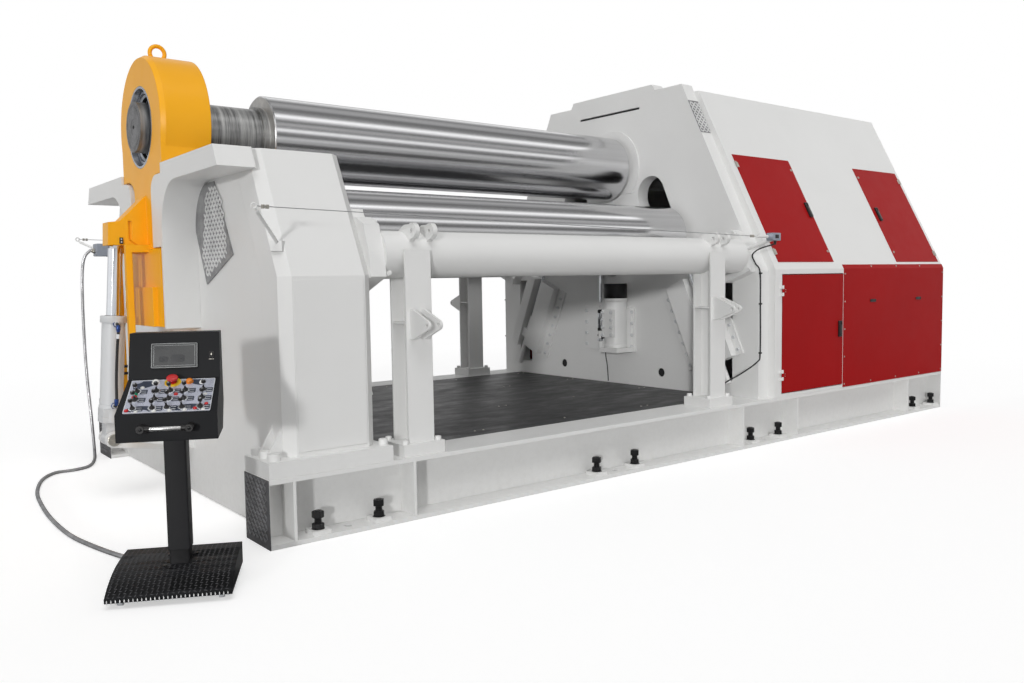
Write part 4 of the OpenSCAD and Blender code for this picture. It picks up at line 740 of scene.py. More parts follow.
def makeLevelingBolts(facts):
    bm = bmesh.new()
    profile = [(0.5, facts["shank"] - 3)]
    z = 4.0
    while z < 128:
        profile += [(z, facts["shank"] - 1.6), (z + facts["thread"] / 2, facts["shank"])]
        z += facts["thread"]
    profile.append((135.5, facts["shank"] - 4))
    addTurned(bm, profile, segments=20)
    corner = facts["halfFlats"] / math.cos(math.pi / 6)
    for low, high in (facts["nut"], facts["head"]):
        profile = [(low, corner * 0.9), (low + 3, corner), (high - 3, corner), (high, corner * 0.9)]
        addTurned(bm, profile, segments=6)
    addTurned(bm, [(40, 33), (44.5, 33)], segments=24)
    stamp = makeStamp("levelingBolt", bm, 40)
    places = []
    for tag, side in bothSides:
        for x in facts["stations"]:
            for s in (-1, 1):
                places.append((side, (x + s * facts["halfPitch"], facts["y"], 0), (0, 0, 1), 0))
    stampOn("levelingBolts", stamp, places, blackOxide, loose=1.0, seed=5,
            stands=["leveling_bolts"])


makeLevelingBolts(levelingFacts)
print("bolts done")


# The console's conduit: a corrugated tube along its route
conduitFacts = {"diameter": 22, "pitch": 3.4, "depth": 0.16, "sides": 12}
conduitRoute = [(-4, 3062, 1500), (-20, 3062, 1500), (-64, 3074, 1430), (-80, 3085, 1200), (-80, 3090, 700),
                (-70, 3050, 300), (-80, 2960, 60), (-120, 2800, 14), (-200, 2610, 12), (-310, 2550, 12),
                (-420, 2540, 12), (-530, 2360, 12), (-620, 2010, 12), (-660, 1660, 12), (-680, 1285, 12),
                (-673, 900, 12), (-635, 640, 12), (-580, 400, 12), (-547, 230, 25), (-548, 112, 60),
                (-575, 59, 60)]


def buildRibbedTree():
    rows = [("Radius", "Float"), ("Pitch", "Float"), ("Depth", "Float"), ("Sides", "Int"),
            ("Finish", "Material")]
    tree, start, inputs = startTree("ribbedTube", "Route", rows, "Tube")
    step = addNode(tree, "ShaderNodeMath", {0: start.outputs["Pitch"], 1: 0.5}, operation="MULTIPLY")
    even = addNode(tree, "GeometryNodeResampleCurve", {"Curve": start.outputs["Route"]}, mode="LENGTH")
    tree.links.new(step.outputs[0], even.inputs["Length"])
    index = addNode(tree, "GeometryNodeInputIndex")
    odd = addNode(tree, "ShaderNodeMath", {0: index.outputs[0], 1: 2.0}, operation="MODULO")
    dip = addNode(tree, "ShaderNodeMath", {0: odd.outputs[0], 1: start.outputs["Depth"]},
                  operation="MULTIPLY")
    wave = addNode(tree, "ShaderNodeMath", {0: 1.0, 1: dip.outputs[0]}, operation="SUBTRACT")
    thick = addNode(tree, "ShaderNodeMath", {0: wave.outputs[0], 1: start.outputs["Radius"]},
                    operation="MULTIPLY")
    ring = addNode(tree, "GeometryNodeCurvePrimitiveCircle", {"Resolution": start.outputs["Sides"],
                                                              "Radius": 1.0})
    tube = addNode(tree, "GeometryNodeCurveToMesh", {"Curve": even.outputs[0],
                                                     "Profile Curve": ring.outputs[0]})
    if "Scale" in tube.inputs:
        tree.links.new(thick.outputs[0], tube.inputs["Scale"])
    else:
        widen = addNode(tree, "GeometryNodeSetCurveRadius", {"Curve": even.outputs[0],
                                                             "Radius": thick.outputs[0]})
        tree.links.new(widen.outputs[0], tube.inputs["Curve"])
    tube.inputs["Fill Caps"].default_value = True
    endTree(tree, tube.outputs[0], start.outputs["Finish"])
    return tree, inputs


ribbedTree, ribbedInputs = buildRibbedTree()


def makeRibbed(name, points, radius, pitch, depth, sides, material):
    curve = bpy.data.curves.new(name + "Route", "CURVE")
    curve.dimensions = "3D"
    spline = curve.splines.new("POLY")
    spline.points.add(len(points) - 1)
    for point, place in zip(spline.points, points):
        point.co = (*place, 1)
    holder = bpy.data.objects.new(name + "Route", curve)
    useTree(holder, ribbedTree, ribbedInputs, {"Radius": radius, "Pitch": pitch, "Depth": depth,
                                               "Sides": sides, "Finish": material})
    tube = freeze(holder, name, material)
    tube.data.shade_smooth()
    return tube


def lengthOf(points):
    return sum((b - a).length for a, b in zip(points, points[1:]))


def makeConduit(facts):
    path = [machine @ p for p in smoothRoute(conduitRoute, 4)]
    tube = makeRibbed("conduitTube", path, facts["diameter"] / 2000, facts["pitch"] / 1000, facts["depth"],
                      facts["sides"], conduitSteel)
    settle(tube, "frame", ["conduit"])
    print("conduit length:", round(lengthOf(path), 3), "m")


makeConduit(conduitFacts)


# Junction box at the far wire bracket, where the conduit starts
boxFacts = {"gland": (12.5, 3062, 1500), "screwY": (-40, 40), "screwZ": (-30, 42)}


def makeJunctionBox(facts):
    glandX, glandY, glandZ = facts["gland"]
    bm = bmesh.new()
    addBox(bm, (12.5, 3012.5, 1460.5), (98, 3111.5, 1551.5), 7)
    addBox(bm, (99, 3010.5, 1458.5), (118.5, 3113.5, 1553.5), 5)
    makePiece("junctionBoxBody", bm, machine, greyCasting, stands=["junction_box"])
    bm = bmesh.new()
    addTurned(bm, [(0, 19), (9, 19), (10, 17.5), (15, 17.5), (16.5, 14)], facts["gland"], (-1, 0, 0), 6)
    addTurned(bm, [(4, 16), (18, 13), (24, 12.2)], facts["gland"], (-1, 0, 0), 24)
    makePiece("conduitGland", bm, machine, zincPlate)
    bm = bmesh.new()
    addBox(bm, (119.2, 2850.5, 1472.5), (124.8, 3099.5, 1531.5), 1)
    makePiece("junctionBoxPlate", bm, machine, whitePaint)
    screws = [(machine, (glandX - 0.1, glandY + y, glandZ + z), (-1, 0, 0), 0)
              for y in facts["screwY"] for z in facts["screwZ"]]
    stampOn("junctionBoxScrews", smallScrew, screws, zincPlate, loose=3.0)


makeJunctionBox(boxFacts)
print("conduit and junction box done")


# Drop end: the top roll's end face, bearing race and seal, fittings, bands and screws
topRollZ = 2166
rollEndFacts = {"radius": 146, "outside": -91}


def makeRollEnd(facts):
    axis = (-1, 0, 0)
    r = facts["radius"]
    bm = bmesh.new()
    profile = [(0, r - 0.3), (0.8, r - 1.2), (0.8, r - 22), (-3.0, r - 23), (-3.0, r - 29), (0.8, r - 30),
               (0.8, 46), (-2, 44), (-2, 17), (-24, 4)]
    addTurned(bm, profile, (facts["outside"] - 0.4, midY, topRollZ), axis, 96)
    makePiece("topRollEndFace", bm, machine, faceSteel, "top_roll", smooth=20)
    bm = bmesh.new()
    centre = (facts["outside"] - 1.2, midY, topRollZ)
    addTurned(bm, [(0, 10), (1.3, 10), (1.3, 7), (-2, 6.4)], centre, axis, 24)
    makePiece("topRollCentre", bm, machine, blackOxide, "top_roll")


makeRollEnd(rollEndFacts)


# A polished bearing race with its two grooves and a dark seal inside
def makeBearing():
    centre = (-35, midY, topRollZ)
    race = [(0, 235), (-22, 235), (-22, 222), (-12, 218), (8, 212), (8, 206), (2, 205), (2, 196), (14, 192),
            (20, 181), (30, 181), (30, 235)]
    bm = bmesh.new()
    addRing(bm, race, centre, (1, 0, 0), 128)
    makePiece("bearingRace", bm, machine, bearingSteel, "drop_end", smooth=25)
    bm = bmesh.new()
    addRing(bm, [(20, 184), (20, 178), (62, 178), (62, 184)], centre, (1, 0, 0), 96)
    makePiece("bearingSeal", bm, machine, blackRubber, "drop_end")


makeBearing()


dropFacts = {"wing": 60, "strap": 110, "bands": (766, 724), "capScrews": 12, "capCircle": 300,
             "capFace": 220, "hinge": (-160, 173, 400), "cylinderPin": (-298, 83, 360)}


def makeDropDetails(facts):
    for tag, s in (("Front", -1), ("Back", 1)):
        y0 = midY + s * facts["wing"]
        bm = bmesh.new()
        addBox(bm, (-214, min(y0, y0 + s * 9), 1486), (-194, max(y0, y0 + s * 9), 1522), 2.5)
        makePiece("wingFitting" + tag, bm, machine, blackPlastic, "drop_end")
        dots = [(machine, (-204, y0 + s * 9, z), (0, s, 0), 0) for z in (1496, 1512)]
        stampOn("wingFittingDots" + tag, smallScrew, dots, panelWhite, "drop_end")
        bm = bmesh.new()
        strapY = midY + s * facts["strap"]
        for z in facts["bands"]:
            addBox(bm, (-203.5, strapY - 24, z - 8), (-161.5, strapY + 24, z + 8), 3)
        makePiece("strapBands" + tag, bm, machine, blackRubber, "drop_end")
    # bolts that hold the bearing's cap on the inner face, and the hinge pins' washers
    places = []
    count, circle = facts["capScrews"], facts["capCircle"]
    for k in range(count):
        a = math.radians(180 / count + 360 / count * k)
        y, z = midY + circle * math.cos(a), topRollZ + circle * math.sin(a)
        places.append((machine, (facts["capFace"], y, z), (1, 0, 0), 0))
    stampOn("headScrews", guideScrew, places, blackOxide, "drop_end", loose=1.0)
    bm = bmesh.new()
    hingeX, hingeY, hingeZ = facts["hinge"]
    pinX, pinY, pinZ = facts["cylinderPin"]
    for s in (-1, 1):
        addTurned(bm, [(0, 48), (7, 48), (9, 45), (9, 20), (6, 16)], (hingeX, midY + s * hingeY, hingeZ),
                  (0, s, 0), 40)
        addTurned(bm, [(0, 36), (6, 36), (8, 33), (8, 12), (6, 10)], (pinX, midY + s * pinY, pinZ),
                  (0, s, 0), 32)
    makePiece("hingeWashers", bm, machine, zincPlate, "frame")


makeDropDetails(dropFacts)


# Drop cylinder: gland, wiper, base block, fittings, hose ferrules and tag, and the sensor's pipe
cylinderFacts = {"radius": 63, "top": 713.6}


def makeCylinderDetails(facts):
    top, r = facts["top"], facts["radius"]
    bm = bmesh.new()
    gland = [(top - 40, r + 0.5), (top - 40, r + 7), (top - 36, r + 9), (top - 3, r + 9), (top + 0.8, r + 5),
             (top + 0.8, 50.5), (top - 4, 49)]
    foot = [(178, r + 0.5), (178, r + 5), (196, r + 5), (200, r + 0.5)]
    wiper = [(top + 0.2, 50), (top + 2.6, 47), (top + 2.6, 41.5), (top - 8, 41)]
    addRing(bm, gland, (0, 0, 0), (0, 0, 1), 48)
    addRing(bm, foot, (0, 0, 0), (0, 0, 1), 48)
    makePiece("barrelCollars", bm, cylinderFrame, greyWhitePaintAndShade, "drop_barrel")
    bm = bmesh.new()
    addRing(bm, wiper, (0, 0, 0), (0, 0, 1), 48)
    makePiece("rodWiper", bm, cylinderFrame, blackRubber, "drop_barrel")
    bm = bmesh.new()
    addBox(bm, (-59.5, -57.5, 95), (59.5, 57.5, 126), 5)
    addBox(bm, (-59.5, -57.5, 130), (59.5, 57.5, 179), 5)
    makePiece("barrelBase", bm, cylinderFrame, greyWhitePaintAndShade, "drop_barrel")
    ports = (top - 46, 196)
    bm = bmesh.new()
    for z in ports:
        addTurned(bm, [(0, 20), (12, 20), (13, 19)], (0, -58, z), (0, -1, 0), 6)
        addTurned(bm, [(10, 14), (14, 14), (16, 12), (22, 12)], (0, -58, z), (0, -1, 0), 24)
    makePiece("portFittings", bm, cylinderFrame, fittingBlue, "drop_barrel")
    bm = bmesh.new()
    for p, q in (((0, -104, ports[0] - 6), (0, -108, ports[0] - 44)),
                 ((0, -108, ports[1] + 44), (0, -104, ports[1] + 6))):
        a, b = Vector(p), Vector(q)
        addTurned(bm, [(0, 10.5), (4, 12.5), (26, 12.5), (30, 10), (38, 9.2)], a, (b - a).normalized(), 16)
    makePiece("hoseFerrules", bm, cylinderFrame, fittingBlue, "drop_barrel")
    bm = bmesh.new()
    addTurned(bm, [(0, 9.4), (0.6, 9.8), (25, 9.8), (25.6, 9.4)], (0, -108, ports[0] - 56), (0, 0.1, -1), 20)
    makePiece("hoseTag", bm, cylinderFrame, panelWhite, "drop_barrel")
    bm = bmesh.new()
    route = [(52, -34, top - 60), (54, -36, top - 20), (54, -36, top + 200), (54, -36, top + 398)]
    addTube(bm, smoothRoute(route, 4), 5)
    makePiece("sensorPipe", bm, cylinderFrame, chromeSteel, "drop_rod")


makeCylinderDetails(cylinderFacts)
print("drop end done")


# Lift units below the lower roll: motor bands and caps, rod fittings, sleeves and leads
liftFacts = {"left": 620, "right": 3816, "motor": (125, -165), "rod": (24, 120)}


def makeLiftDetails(facts):
    motor, rod = facts["motor"], facts["rod"]
    for tag, face, s in (("Left", facts["left"], 1), ("Right", facts["right"], -1)):
        place = machine @ Matrix.Translation((face, midY, 0)) @ Matrix.Scale(s, 4, (1, 0, 0))
        bm = bmesh.new()
        addTurned(bm, [(0, 95.2), (3, 97), (120, 97), (123, 95.2)], (*motor, 1072), segments=48)
        makePiece("motorBand" + tag, bm, place, blackOxide)
        bm = bmesh.new()
        addTurned(bm, [(0, 97), (3, 99), (22, 99), (26, 95)], (*motor, 1046), segments=48)
        addTurned(bm, [(0, 97), (3, 99), (26, 99), (30, 95)], (*motor, 658), segments=48)
        makePiece("motorCaps" + tag, bm, place, whitePaint)
        bm = bmesh.new()
        addTurned(bm, [(0, 25), (6, 27), (22, 27), (26, 24), (30, 18)], (*rod, 938), segments=32, bore=15.5)
        addTurned(bm, [(0, 28), (22, 28), (26, 25)], (*rod, 782), segments=32, bore=22)
        addTurned(bm, [(0, 20), (20, 20), (24, 16)], (*rod, 600), segments=6)
        addTurned(bm, [(0, 13), (52, 13), (54, 11)], (24, 96, 742), (0, 1, 0), 16)
        addBox(bm, (4, 58, 716), (46, 96, 756), 5)
        addBox(bm, (10, 50, 694), (34, 66, 716), 3)
        makePiece("rodFittings" + tag, bm, place, blackOxide)
        bm = bmesh.new()
        addTurned(bm, [(0, 25.5), (3, 26.5), (127, 26.5), (130, 24)], (*rod, 808), segments=32, bore=22)
        addTurned(bm, [(0, 24), (3, 26.5), (22, 26.5), (25, 24)], (*rod, 690), segments=32, bore=22)
        makePiece("rodSleeve" + tag, bm, place, chromeSteel)
        bm = bmesh.new()
        addTube(bm, smoothRoute([(24, 62, 612), (26, 58, 560), (22, 44, 470), (20, 36, 345)], 6), 4)
        makePiece("unitLead" + tag, bm, place, blackRubber)


makeLiftDetails(liftFacts)


# Black plugs set into the two small holes in the right frame plate: painted shade for the dark inside of the
# holes
def makeHoleShadePlugs():
    bm = bmesh.new()
    for y in (1008, 2 * midY - 938):
        addTurned(bm, [(7, 35.2), (8, 35.7), (28, 35.7)], (liftFacts["right"], y, 461), (1, 0, 0), 32)
    makePiece("holeDepths", bm, machine, blackRubber)


makeHoleShadePlugs()


trimFacts = {"clips": (1262, 1038, 676), "clamps": (-20, 0, 3528, 3508), "wireStart": -20,
             "wireFall": 0.0193, "seats": ((712, 1), (3724, -1)),
             "seatScrews": ((72, 1290), (312, 1250), (362, 1350), (212, 1560))}


def makeFrameTrim(facts):
    # a dark seal in the slot near the top of the right frame plate
    bm = bmesh.new()
    addBox(bm, (3822, midY - 327, 2632), (3839, midY + 385, 2646), 2)
    makePiece("slotSeal", bm, machine, blackRubber)
    # clips that hold the switch cable to the right frame's edge
    for tag, side in bothSides:
        bm = bmesh.new()
        for z in facts["clips"]:
            addBox(bm, (3818, 45, z - 6), (3842, 59.6, z + 6), 2.5)
        makePiece("cableClips" + tag, bm, side, blackPlastic)
        # pull switch: body lid, conduit entry, eye bolt's nut; small wire clamps at both ends of the wire
        bm = bmesh.new()
        addBox(bm, (3724, -126.5, 1492), (3818, -70, 1547), 6)
        addTurned(bm, [(0, 26), (14, 26), (20, 20), (34, 15)], (3728, -100, 1520), (-1, 0, 0), 32)
        makePiece("pullSwitchBody" + tag, bm, side, greyCasting)
        bm = bmesh.new()
        addTurned(bm, [(0, 12), (10, 12), (12, 10), (30, 7)], (3786, -100, 1494), (0, 0, -1), 20)
        addBox(bm, (3752, -130, 1508), (3790, -126, 1534), 1.5)
        makePiece("pullSwitchTrim" + tag, bm, side, blackPlastic)
        bm = bmesh.new()
        for x in facts["clamps"]:
            fall = (x - facts["wireStart"]) * facts["wireFall"]
            addBox(bm, (x - 7, -107, 1580 - fall), (x + 7, -93, 1598 - fall), 2)
        makePiece("wireClamps" + tag, bm, side, zincPlate)
    # bolts on the tubes' end seats
    places = []
    for tag, side in bothSides:
        for x, s in facts["seats"]:
            for y, z in facts["seatScrews"]:
                places.append((side, (x, y, z), (s, 0, 0), 0))
    stampOn("seatScrews", guideScrew, places, whitePaint, loose=1.0)


makeFrameTrim(trimFacts)


# A shallow plate welded on each left column's outer face
def makeColumnPlates():
    for tag, side in bothSides:
        bm = bmesh.new()
        addPrism(bm, roundedOutline(185, 430, 560, 1262, 6), 0, 2.4)
        bmesh.ops.rotate(bm, cent=(0, 0, 0), matrix=Matrix.Rotation(math.radians(90), 3, "X"), verts=bm.verts)
        bmesh.ops.translate(bm, vec=(0, 60.1, 0), verts=bm.verts)
        makePiece("columnPlate" + tag, bm, side, whitePaint)


makeColumnPlates()


# Doors: hinges, latches, pulls and screws
doorFacts = {"latch": (4793, -4, 812), "hingeX": 4046, "hinges": (500, 1130), "upper": (4008, 5727),
             "upperWidth": 740, "upperLow": 1343, "upperHigh": 2183, "panelX": 4853, "panelEnd": 6510,
             "pulls": (5294, 6054), "pullZ": 1023}


# A pocket latch: bezel with a raised rim, a flap and a lock disc, lying on the face z = 0
def addLatch(bm, width, height):
    addRim(bm, -width / 2, -height / 2, width / 2, height / 2, 6, 6, 0, 12)
    addPrism(bm, roundedOutline(-width / 2 + 5, -height / 2 + 5, width / 2 - 5, height / 2 - 5, 3), 0, 5)
    addBox(bm, (-width / 2 + 9, -height / 2 + 10, 4), (width / 2 - 9, height / 2 - 34, 15), 3)
    addTurned(bm, [(4, 8), (9, 8), (10, 7)], (0, height / 2 - 20, 0), (0, 0, 1), 20)


def makeDoors(facts):
    flat = Matrix.Rotation(math.radians(90), 4, "X")     # a drawing in X and Y stands up in X and Z
    for tag, side in bothSides:
        low = tag.lower()
        latchPlace = side @ Matrix.Translation(facts["latch"]) @ flat
        bm = bmesh.new()
        addLatch(bm, 44, 128)
        makePiece(low + "Latch", bm, latchPlace, blackPlastic, low + "_door",
                  [low + "_door_latch"])
        bm = bmesh.new()
        addBox(bm, (-9, -34, 5), (9, 2, 7.5), 1)
        makePiece(low + "LatchPlate", bm, latchPlace, zincPlate, low + "_door")
        # screws of the hinges on the door
        screws = []
        for z in facts["hinges"]:
            for dz in (-8, 8):
                screws.append((side, (facts["hingeX"], -13, z + dz), (0, -1, 0), 0))
        stampOn(low + "HingeScrews", smallScrew, screws, zincPlate, low + "_door", loose=3.0)
        # upper doors: slotted latches, small locks and hinges
        bm = bmesh.new()
        hinges = bmesh.new()
        screws = []
        for n, x in enumerate(facts["upper"]):
            plane = onSlant(x, facts["upperLow"])
            full = (facts["upperHigh"] - facts["upperLow"]) / math.cos(math.radians(housingLean))
            latchX = facts["upperWidth"] - 36 if n == 0 else 64
            part = bmesh.new()
            addLatch(part, 42, 132)
            part.transform(plane @ Matrix.Translation((latchX, -4, full * 0.5)) @ flat)
            joinInto(bm, part)
            leafX = 12 if n == 0 else facts["upperWidth"] - 12
            pinX = leafX - 14 if n == 0 else leafX + 14
            for height in (0.09, 0.90):
                part = bmesh.new()
                z = full * height
                addTurned(part, [(-26, 6), (-25, 7), (25, 7), (26, 6)], (pinX, -8, z))
                addBox(part, (leafX - 14, -7, z - 22), (leafX + 14, -3.5, z + 22), 1)
                part.transform(plane)
                joinInto(hinges, part)
            edge = facts["upperWidth"] - 24 if n == 0 else 24
            for height in (0.10, 0.90):
                screws.append((side @ plane, (edge, -4, full * height), (0, -1, 0), 0))
        makePiece("upperLatches" + tag, bm, side, blackPlastic,
                  stands=["door_fittings"] if tag == "Front" else [])
        makePiece("upperHinges" + tag, hinges, side, zincPlate)
        stampOn("upperLocks" + tag, lockStud, screws, zincPlate)
        # lower bolted panel: slotted pulls and screws along its border
        bm = bmesh.new()
        for x in facts["pulls"]:
            part = bmesh.new()
            addRim(part, -46, -12, 46, 12, 11, 4, 0, 5)
            addPrism(part, roundedOutline(-43, -9, 43, 9, 8), 0, 1.2)
            addBox(part, (-30, -3, 1), (34, 5, 4), 1.4)
            part.transform(Matrix.Translation((x, -4, facts["pullZ"])) @ flat)
            joinInto(bm, part)
        makePiece("panelPulls" + tag, bm, side, blackPlastic)
        places = []
        x0, x1 = facts["panelX"] + 16, facts["panelEnd"] - 20
        for k in range(5):
            z = 360 + k * 222
            for x in (x0, x1):
                places.append((side, (x, -4, z), (0, -1, 0), 0))
        for k in range(1, 4):
            x = x0 + (x1 - x0) * k / 4
            places.append((side, (x, -4, 356), (0, -1, 0), 0))
            places.append((side @ onSlant(x, 1306), (0, -4, 0), (0, -1, 0), 0))
        stampOn("panelScrews" + tag, panelScrew, places, zincPlate, loose=3.0)


def joinInto(target, part):
    mesh = bpy.data.meshes.new("part")
    part.to_mesh(mesh)
    part.free()
    target.from_mesh(mesh)
    bpy.data.meshes.remove(mesh)


lockStud = buttonStamp("lockStud", 11, 6)
makeDoors(doorFacts)
print("doors done")


# Deck: bright button-head screws
deckFacts = {"rows": (760, 1490, 2220, 2950, 3680), "columns": (420, 1130, 2010, 2720), "top": 332,
             "pair": 64}


def makeDeckScrews(facts):
    places = []
    for x in facts["rows"]:
        for y in facts["columns"]:
            places.append((machine, (x, y, facts["top"]), (0, 0, 1), 0))
            if (x + y) % 3:      # most of them stand in pairs
                places.append((machine, (x + facts["pair"], y, facts["top"]), (0, 0, 1), 0))
    stampOn("deckScrews", panelScrew, places, zincPlate, loose=3.0)


makeDeckScrews(deckFacts)
print("frame details done")


# Console: base, post and casters
baseFacts = {"halfWidth": 237, "front": -205, "back": 205, "flatFrom": 145, "top": 118, "lip": 46,
             "under": 28, "curve": 2.8, "post": (13, 20), "postSize": 87, "pitch": 20, "lipPitch": 16}


# Height of the base's bent tread plate at a distance from its middle
def baseHeight(y, facts=baseFacts):
    t = (facts["flatFrom"] - y) / (facts["flatFrom"] - facts["front"])
    return facts["top"] - (facts["top"] - facts["lip"]) * max(0, t) ** facts["curve"]


def makeConsoleBase(facts):
    half = facts["halfWidth"]
    bm = bmesh.new()
    steps = 20
    outline = [(facts["back"], facts["top"])]
    for k in range(steps + 1):
        y = facts["flatFrom"] - (facts["flatFrom"] - facts["front"]) * k / steps
        outline.append((y, baseHeight(y)))
    inner = [(y + 4 * k / (steps + 1), z - 5) for k, (y, z) in enumerate(outline)]
    front, back = facts["front"], facts["back"]
    section = outline + [(front, facts["under"]), (front + 5, facts["under"])] + inner[::-1]
    rows = [[bm.verts.new((x, y, z)) for y, z in section] for x in (-half, half)]
    joinLoops(bm, *rows)
    bmesh.ops.contextual_create(bm, geom=rows[0])
    bmesh.ops.contextual_create(bm, geom=rows[1])
    for x in (-half + 0.5, half - 5):     # side cheeks below the plate
        cheek = [(back, facts["under"]), (back, facts["top"] - 1)] + [(y, z - 1) for y, z in outline[1:]]
        cheek.append((front + 1, facts["under"]))
        outside = [bm.verts.new((x, y, z)) for y, z in cheek]
        inside = [bm.verts.new((x + 4.5, y, z)) for y, z in cheek]
        joinLoops(bm, outside, inside)
        bm.faces.new(outside[::-1])
        bm.faces.new(inside)
    addBox(bm, (-half + 5, back - 5, facts["under"]), (half - 5, back - 0.5, facts["top"] - 5))
    makePiece("consoleBase", bm, consoleFrame, consolePaint,
              stands=["console_stand"], smooth=24)
    # raised lozenges that follow the bent plate; the row along the front lip is painted pale as its
    # highlights
    places, wearAndLipHighlight = [], []
    columns = int(2 * half / facts["pitch"])
    postX, postY = facts["post"]
    path = []
    y = back - 10
    while y > front + 6:
        slope = (baseHeight(y + 1) - baseHeight(y - 1)) / 2
        path.append((y, baseHeight(y), slope))
        y -= facts["pitch"] * 0.72 / math.hypot(1, slope)
    for r, (y, z, slope) in enumerate(path):
        for c in range(columns):
            x = -half + facts["pitch"] * (c + 0.5) + 3
            if abs(x - postX) < facts["postSize"] / 2 + 8 and abs(y - postY) < facts["postSize"] / 2 + 8:
                continue
            places.append((consoleFrame, (x, y, z - 0.3), (0, -slope, 1), 45 if (r + c) % 2 else -45))
    # pale lozenges on the curved front lip: painted highlights
    for c in range(int(2 * half / facts["lipPitch"])):
        x = -half + facts["lipPitch"] * (c + 0.6)
        wearAndLipHighlight.append((consoleFrame, (x, front - 0.2, facts["lip"] - 12), (0, -1, 0.2), 64))
    stampOn("consoleTread", fineLozenge, places, darkTread)
    stampOn("consoleLipTread", lipLozenge, wearAndLipHighlight, paleTreadAndLipHighlight)
    size = facts["postSize"] / 2
    bm = bmesh.new()
    addPrism(bm, roundedOutline(postX - size, postY - size, postX + size, postY + size, 7), 168, 652)
    makePiece("consolePost", bm, consoleFrame, postPaint)
    bm = bmesh.new()
    inner = size - 5
    addPrism(bm, roundedOutline(postX - inner, postY - inner, postX + inner, postY + inner, 5), 90, 170)
    for x, y in ((-1, -1), (1, -1), (-1, 1), (1, 1)):
        addTurned(bm, [(0, 8), (6, 8), (7, 7)], (postX + x * (size + 12), postY + y * (size + 12),
                                                baseHeight(postY + y * (size + 12)) - 1), segments=6)
    makePiece("consolePostFoot", bm, consoleFrame, blackOxide)
    wheels, forks = bmesh.new(), bmesh.new()
    for x in (-190, 190):
        for y in (-150, 160):
            addTurned(wheels, [(-12, 14), (-11, 18.5), (-8, 20), (8, 20), (11, 18.5), (12, 14)], (x, y, 20),
                      (1, 0, 0), 28)
            addBox(forks, (x - 17, y - 10, 16), (x - 13.5, y + 10, 34), 1)
            addBox(forks, (x + 13.5, y - 10, 16), (x + 17, y + 10, 34), 1)
            addBox(forks, (x - 20, y - 14, 33), (x + 20, y + 14, 40), 1)
    makePiece("casterWheels", wheels, consoleFrame, panelWhite)
    makePiece("casterForks", forks, consoleFrame, zincPlate)
    bm = bmesh.new()
    addTurned(bm, [(0, 19), (10, 19), (11, 17)], (-200, 205, 60), (0, 1, 0), 6)
    addTurned(bm, [(8, 16), (20, 14), (26, 12.5)], (-200, 205, 60), (0, 1, 0), 24)
    makePiece("consoleGland", bm, consoleFrame, zincPlate)


makeConsoleBase(baseFacts)


# Console: button plate with its graphic fields
plateFacts = {"half": 160, "low": 8, "high": 225, "thick": 3}
stickColumns = [-127, -56, -2, 54, 121]
stickRows = [34, 92, 146]


def makeButtonPlate(facts):
    h, low, high = facts["half"], facts["low"], facts["high"]
    bm = bmesh.new()
    addPrism(bm, roundedOutline(-h, low, h, high, 4), 0.05, facts["thick"])
    makePiece("buttonPlate", bm, slopeFrame, panelSilver, stands=["console_panel"])
    bm = bmesh.new()
    addRim(bm, -h, low, h, high, 4, 2.2, facts["thick"] - 0.5, facts["thick"] + 0.35)
    makePiece("buttonPlateEdge", bm, slopeFrame, panelWhite)
    z0, z1 = facts["thick"] - 0.2, facts["thick"] + 0.25

    def sweepField(bm, middle, inner, outer, first, last, squash=0.6):
        points = []
        steps = 14
        for radius, order in ((outer, range(steps + 1)), (inner, range(steps, -1, -1))):
            for k in order:
                a = math.radians(first + (last - first) * k / steps)
                x = min(max(middle[0] + radius * math.cos(a), -h + 4), h - 4)
                y = min(max(middle[1] + radius * squash * math.sin(a), low + 4), high - 4)
                points.append((x, y))
        addPrism(bm, points, z0, z1)

    bm = bmesh.new()
    sweepField(bm, (-150, 222), 34, 96, -88, -6)
    sweepField(bm, (-96, 10), 30, 70, 12, 168)
    sweepField(bm, (84, 8), 28, 78, 12, 168)
    sweepField(bm, (132, 224), 30, 78, -176, -100)
    for x in stickColumns:
        for y in stickRows:
            addPrism(bm, roundedOutline(x + 10, y - 16, x + 38, y + 14, 4, 3), z0, z1)
            addPrism(bm, roundedOutline(x - 12, y - 12, x + 12, y + 12, 4, 3), z0, z1)
    makePiece("plateFields", bm, slopeFrame, panelDark)
    bm = bmesh.new()
    for x in stickColumns:
        for y in stickRows:      # arrow marks beside each lever
            for dy, s in ((17, 1), (-17, -1)):
                addPrism(bm, [(x - 4, y + dy), (x + 4, y + dy), (x, y + dy + 5 * s)][::s], z0, z1 + 0.1)
            addPrism(bm, roundedOutline(x + 15, y - 10, x + 33, y - 7, 1, 2), z1, z1 + 0.15)
            addPrism(bm, roundedOutline(x + 15, y + 4, x + 33, y + 6, 1, 2), z1, z1 + 0.15)
    makePiece("plateMarks", bm, slopeFrame, panelWhite)


makeButtonPlate(plateFacts)


# Console: levers, buttons, lamps, stop button
def leverStamps():
    boot = bmesh.new()
    profile = [(0, 13)]
    for k in range(4):
        profile += [(2 + 3 * k, 12.5 - 1.9 * k), (3.5 + 3 * k, 10.5 - 1.9 * k)]
    profile += [(18, 3.6), (31, 3.6), (32, 6), (34, 8.6), (39, 9), (44, 7.5), (46, 4)]
    addTurned(boot, profile, segments=20)
    collar = bmesh.new()
    addTurned(collar, [(-0.2, 16), (2.4, 16), (3.6, 14.6), (3.6, 12)], segments=24)
    addTurned(collar, [(24, 4.4), (26, 5.6), (29, 5.6), (31, 4.4)], segments=20)
    addTurned(collar, [(45.2, 4.2), (46.4, 3.6), (47, 2)], segments=12)
    return makeStamp("leverBoot", boot, 25), makeStamp("leverCollar", collar)


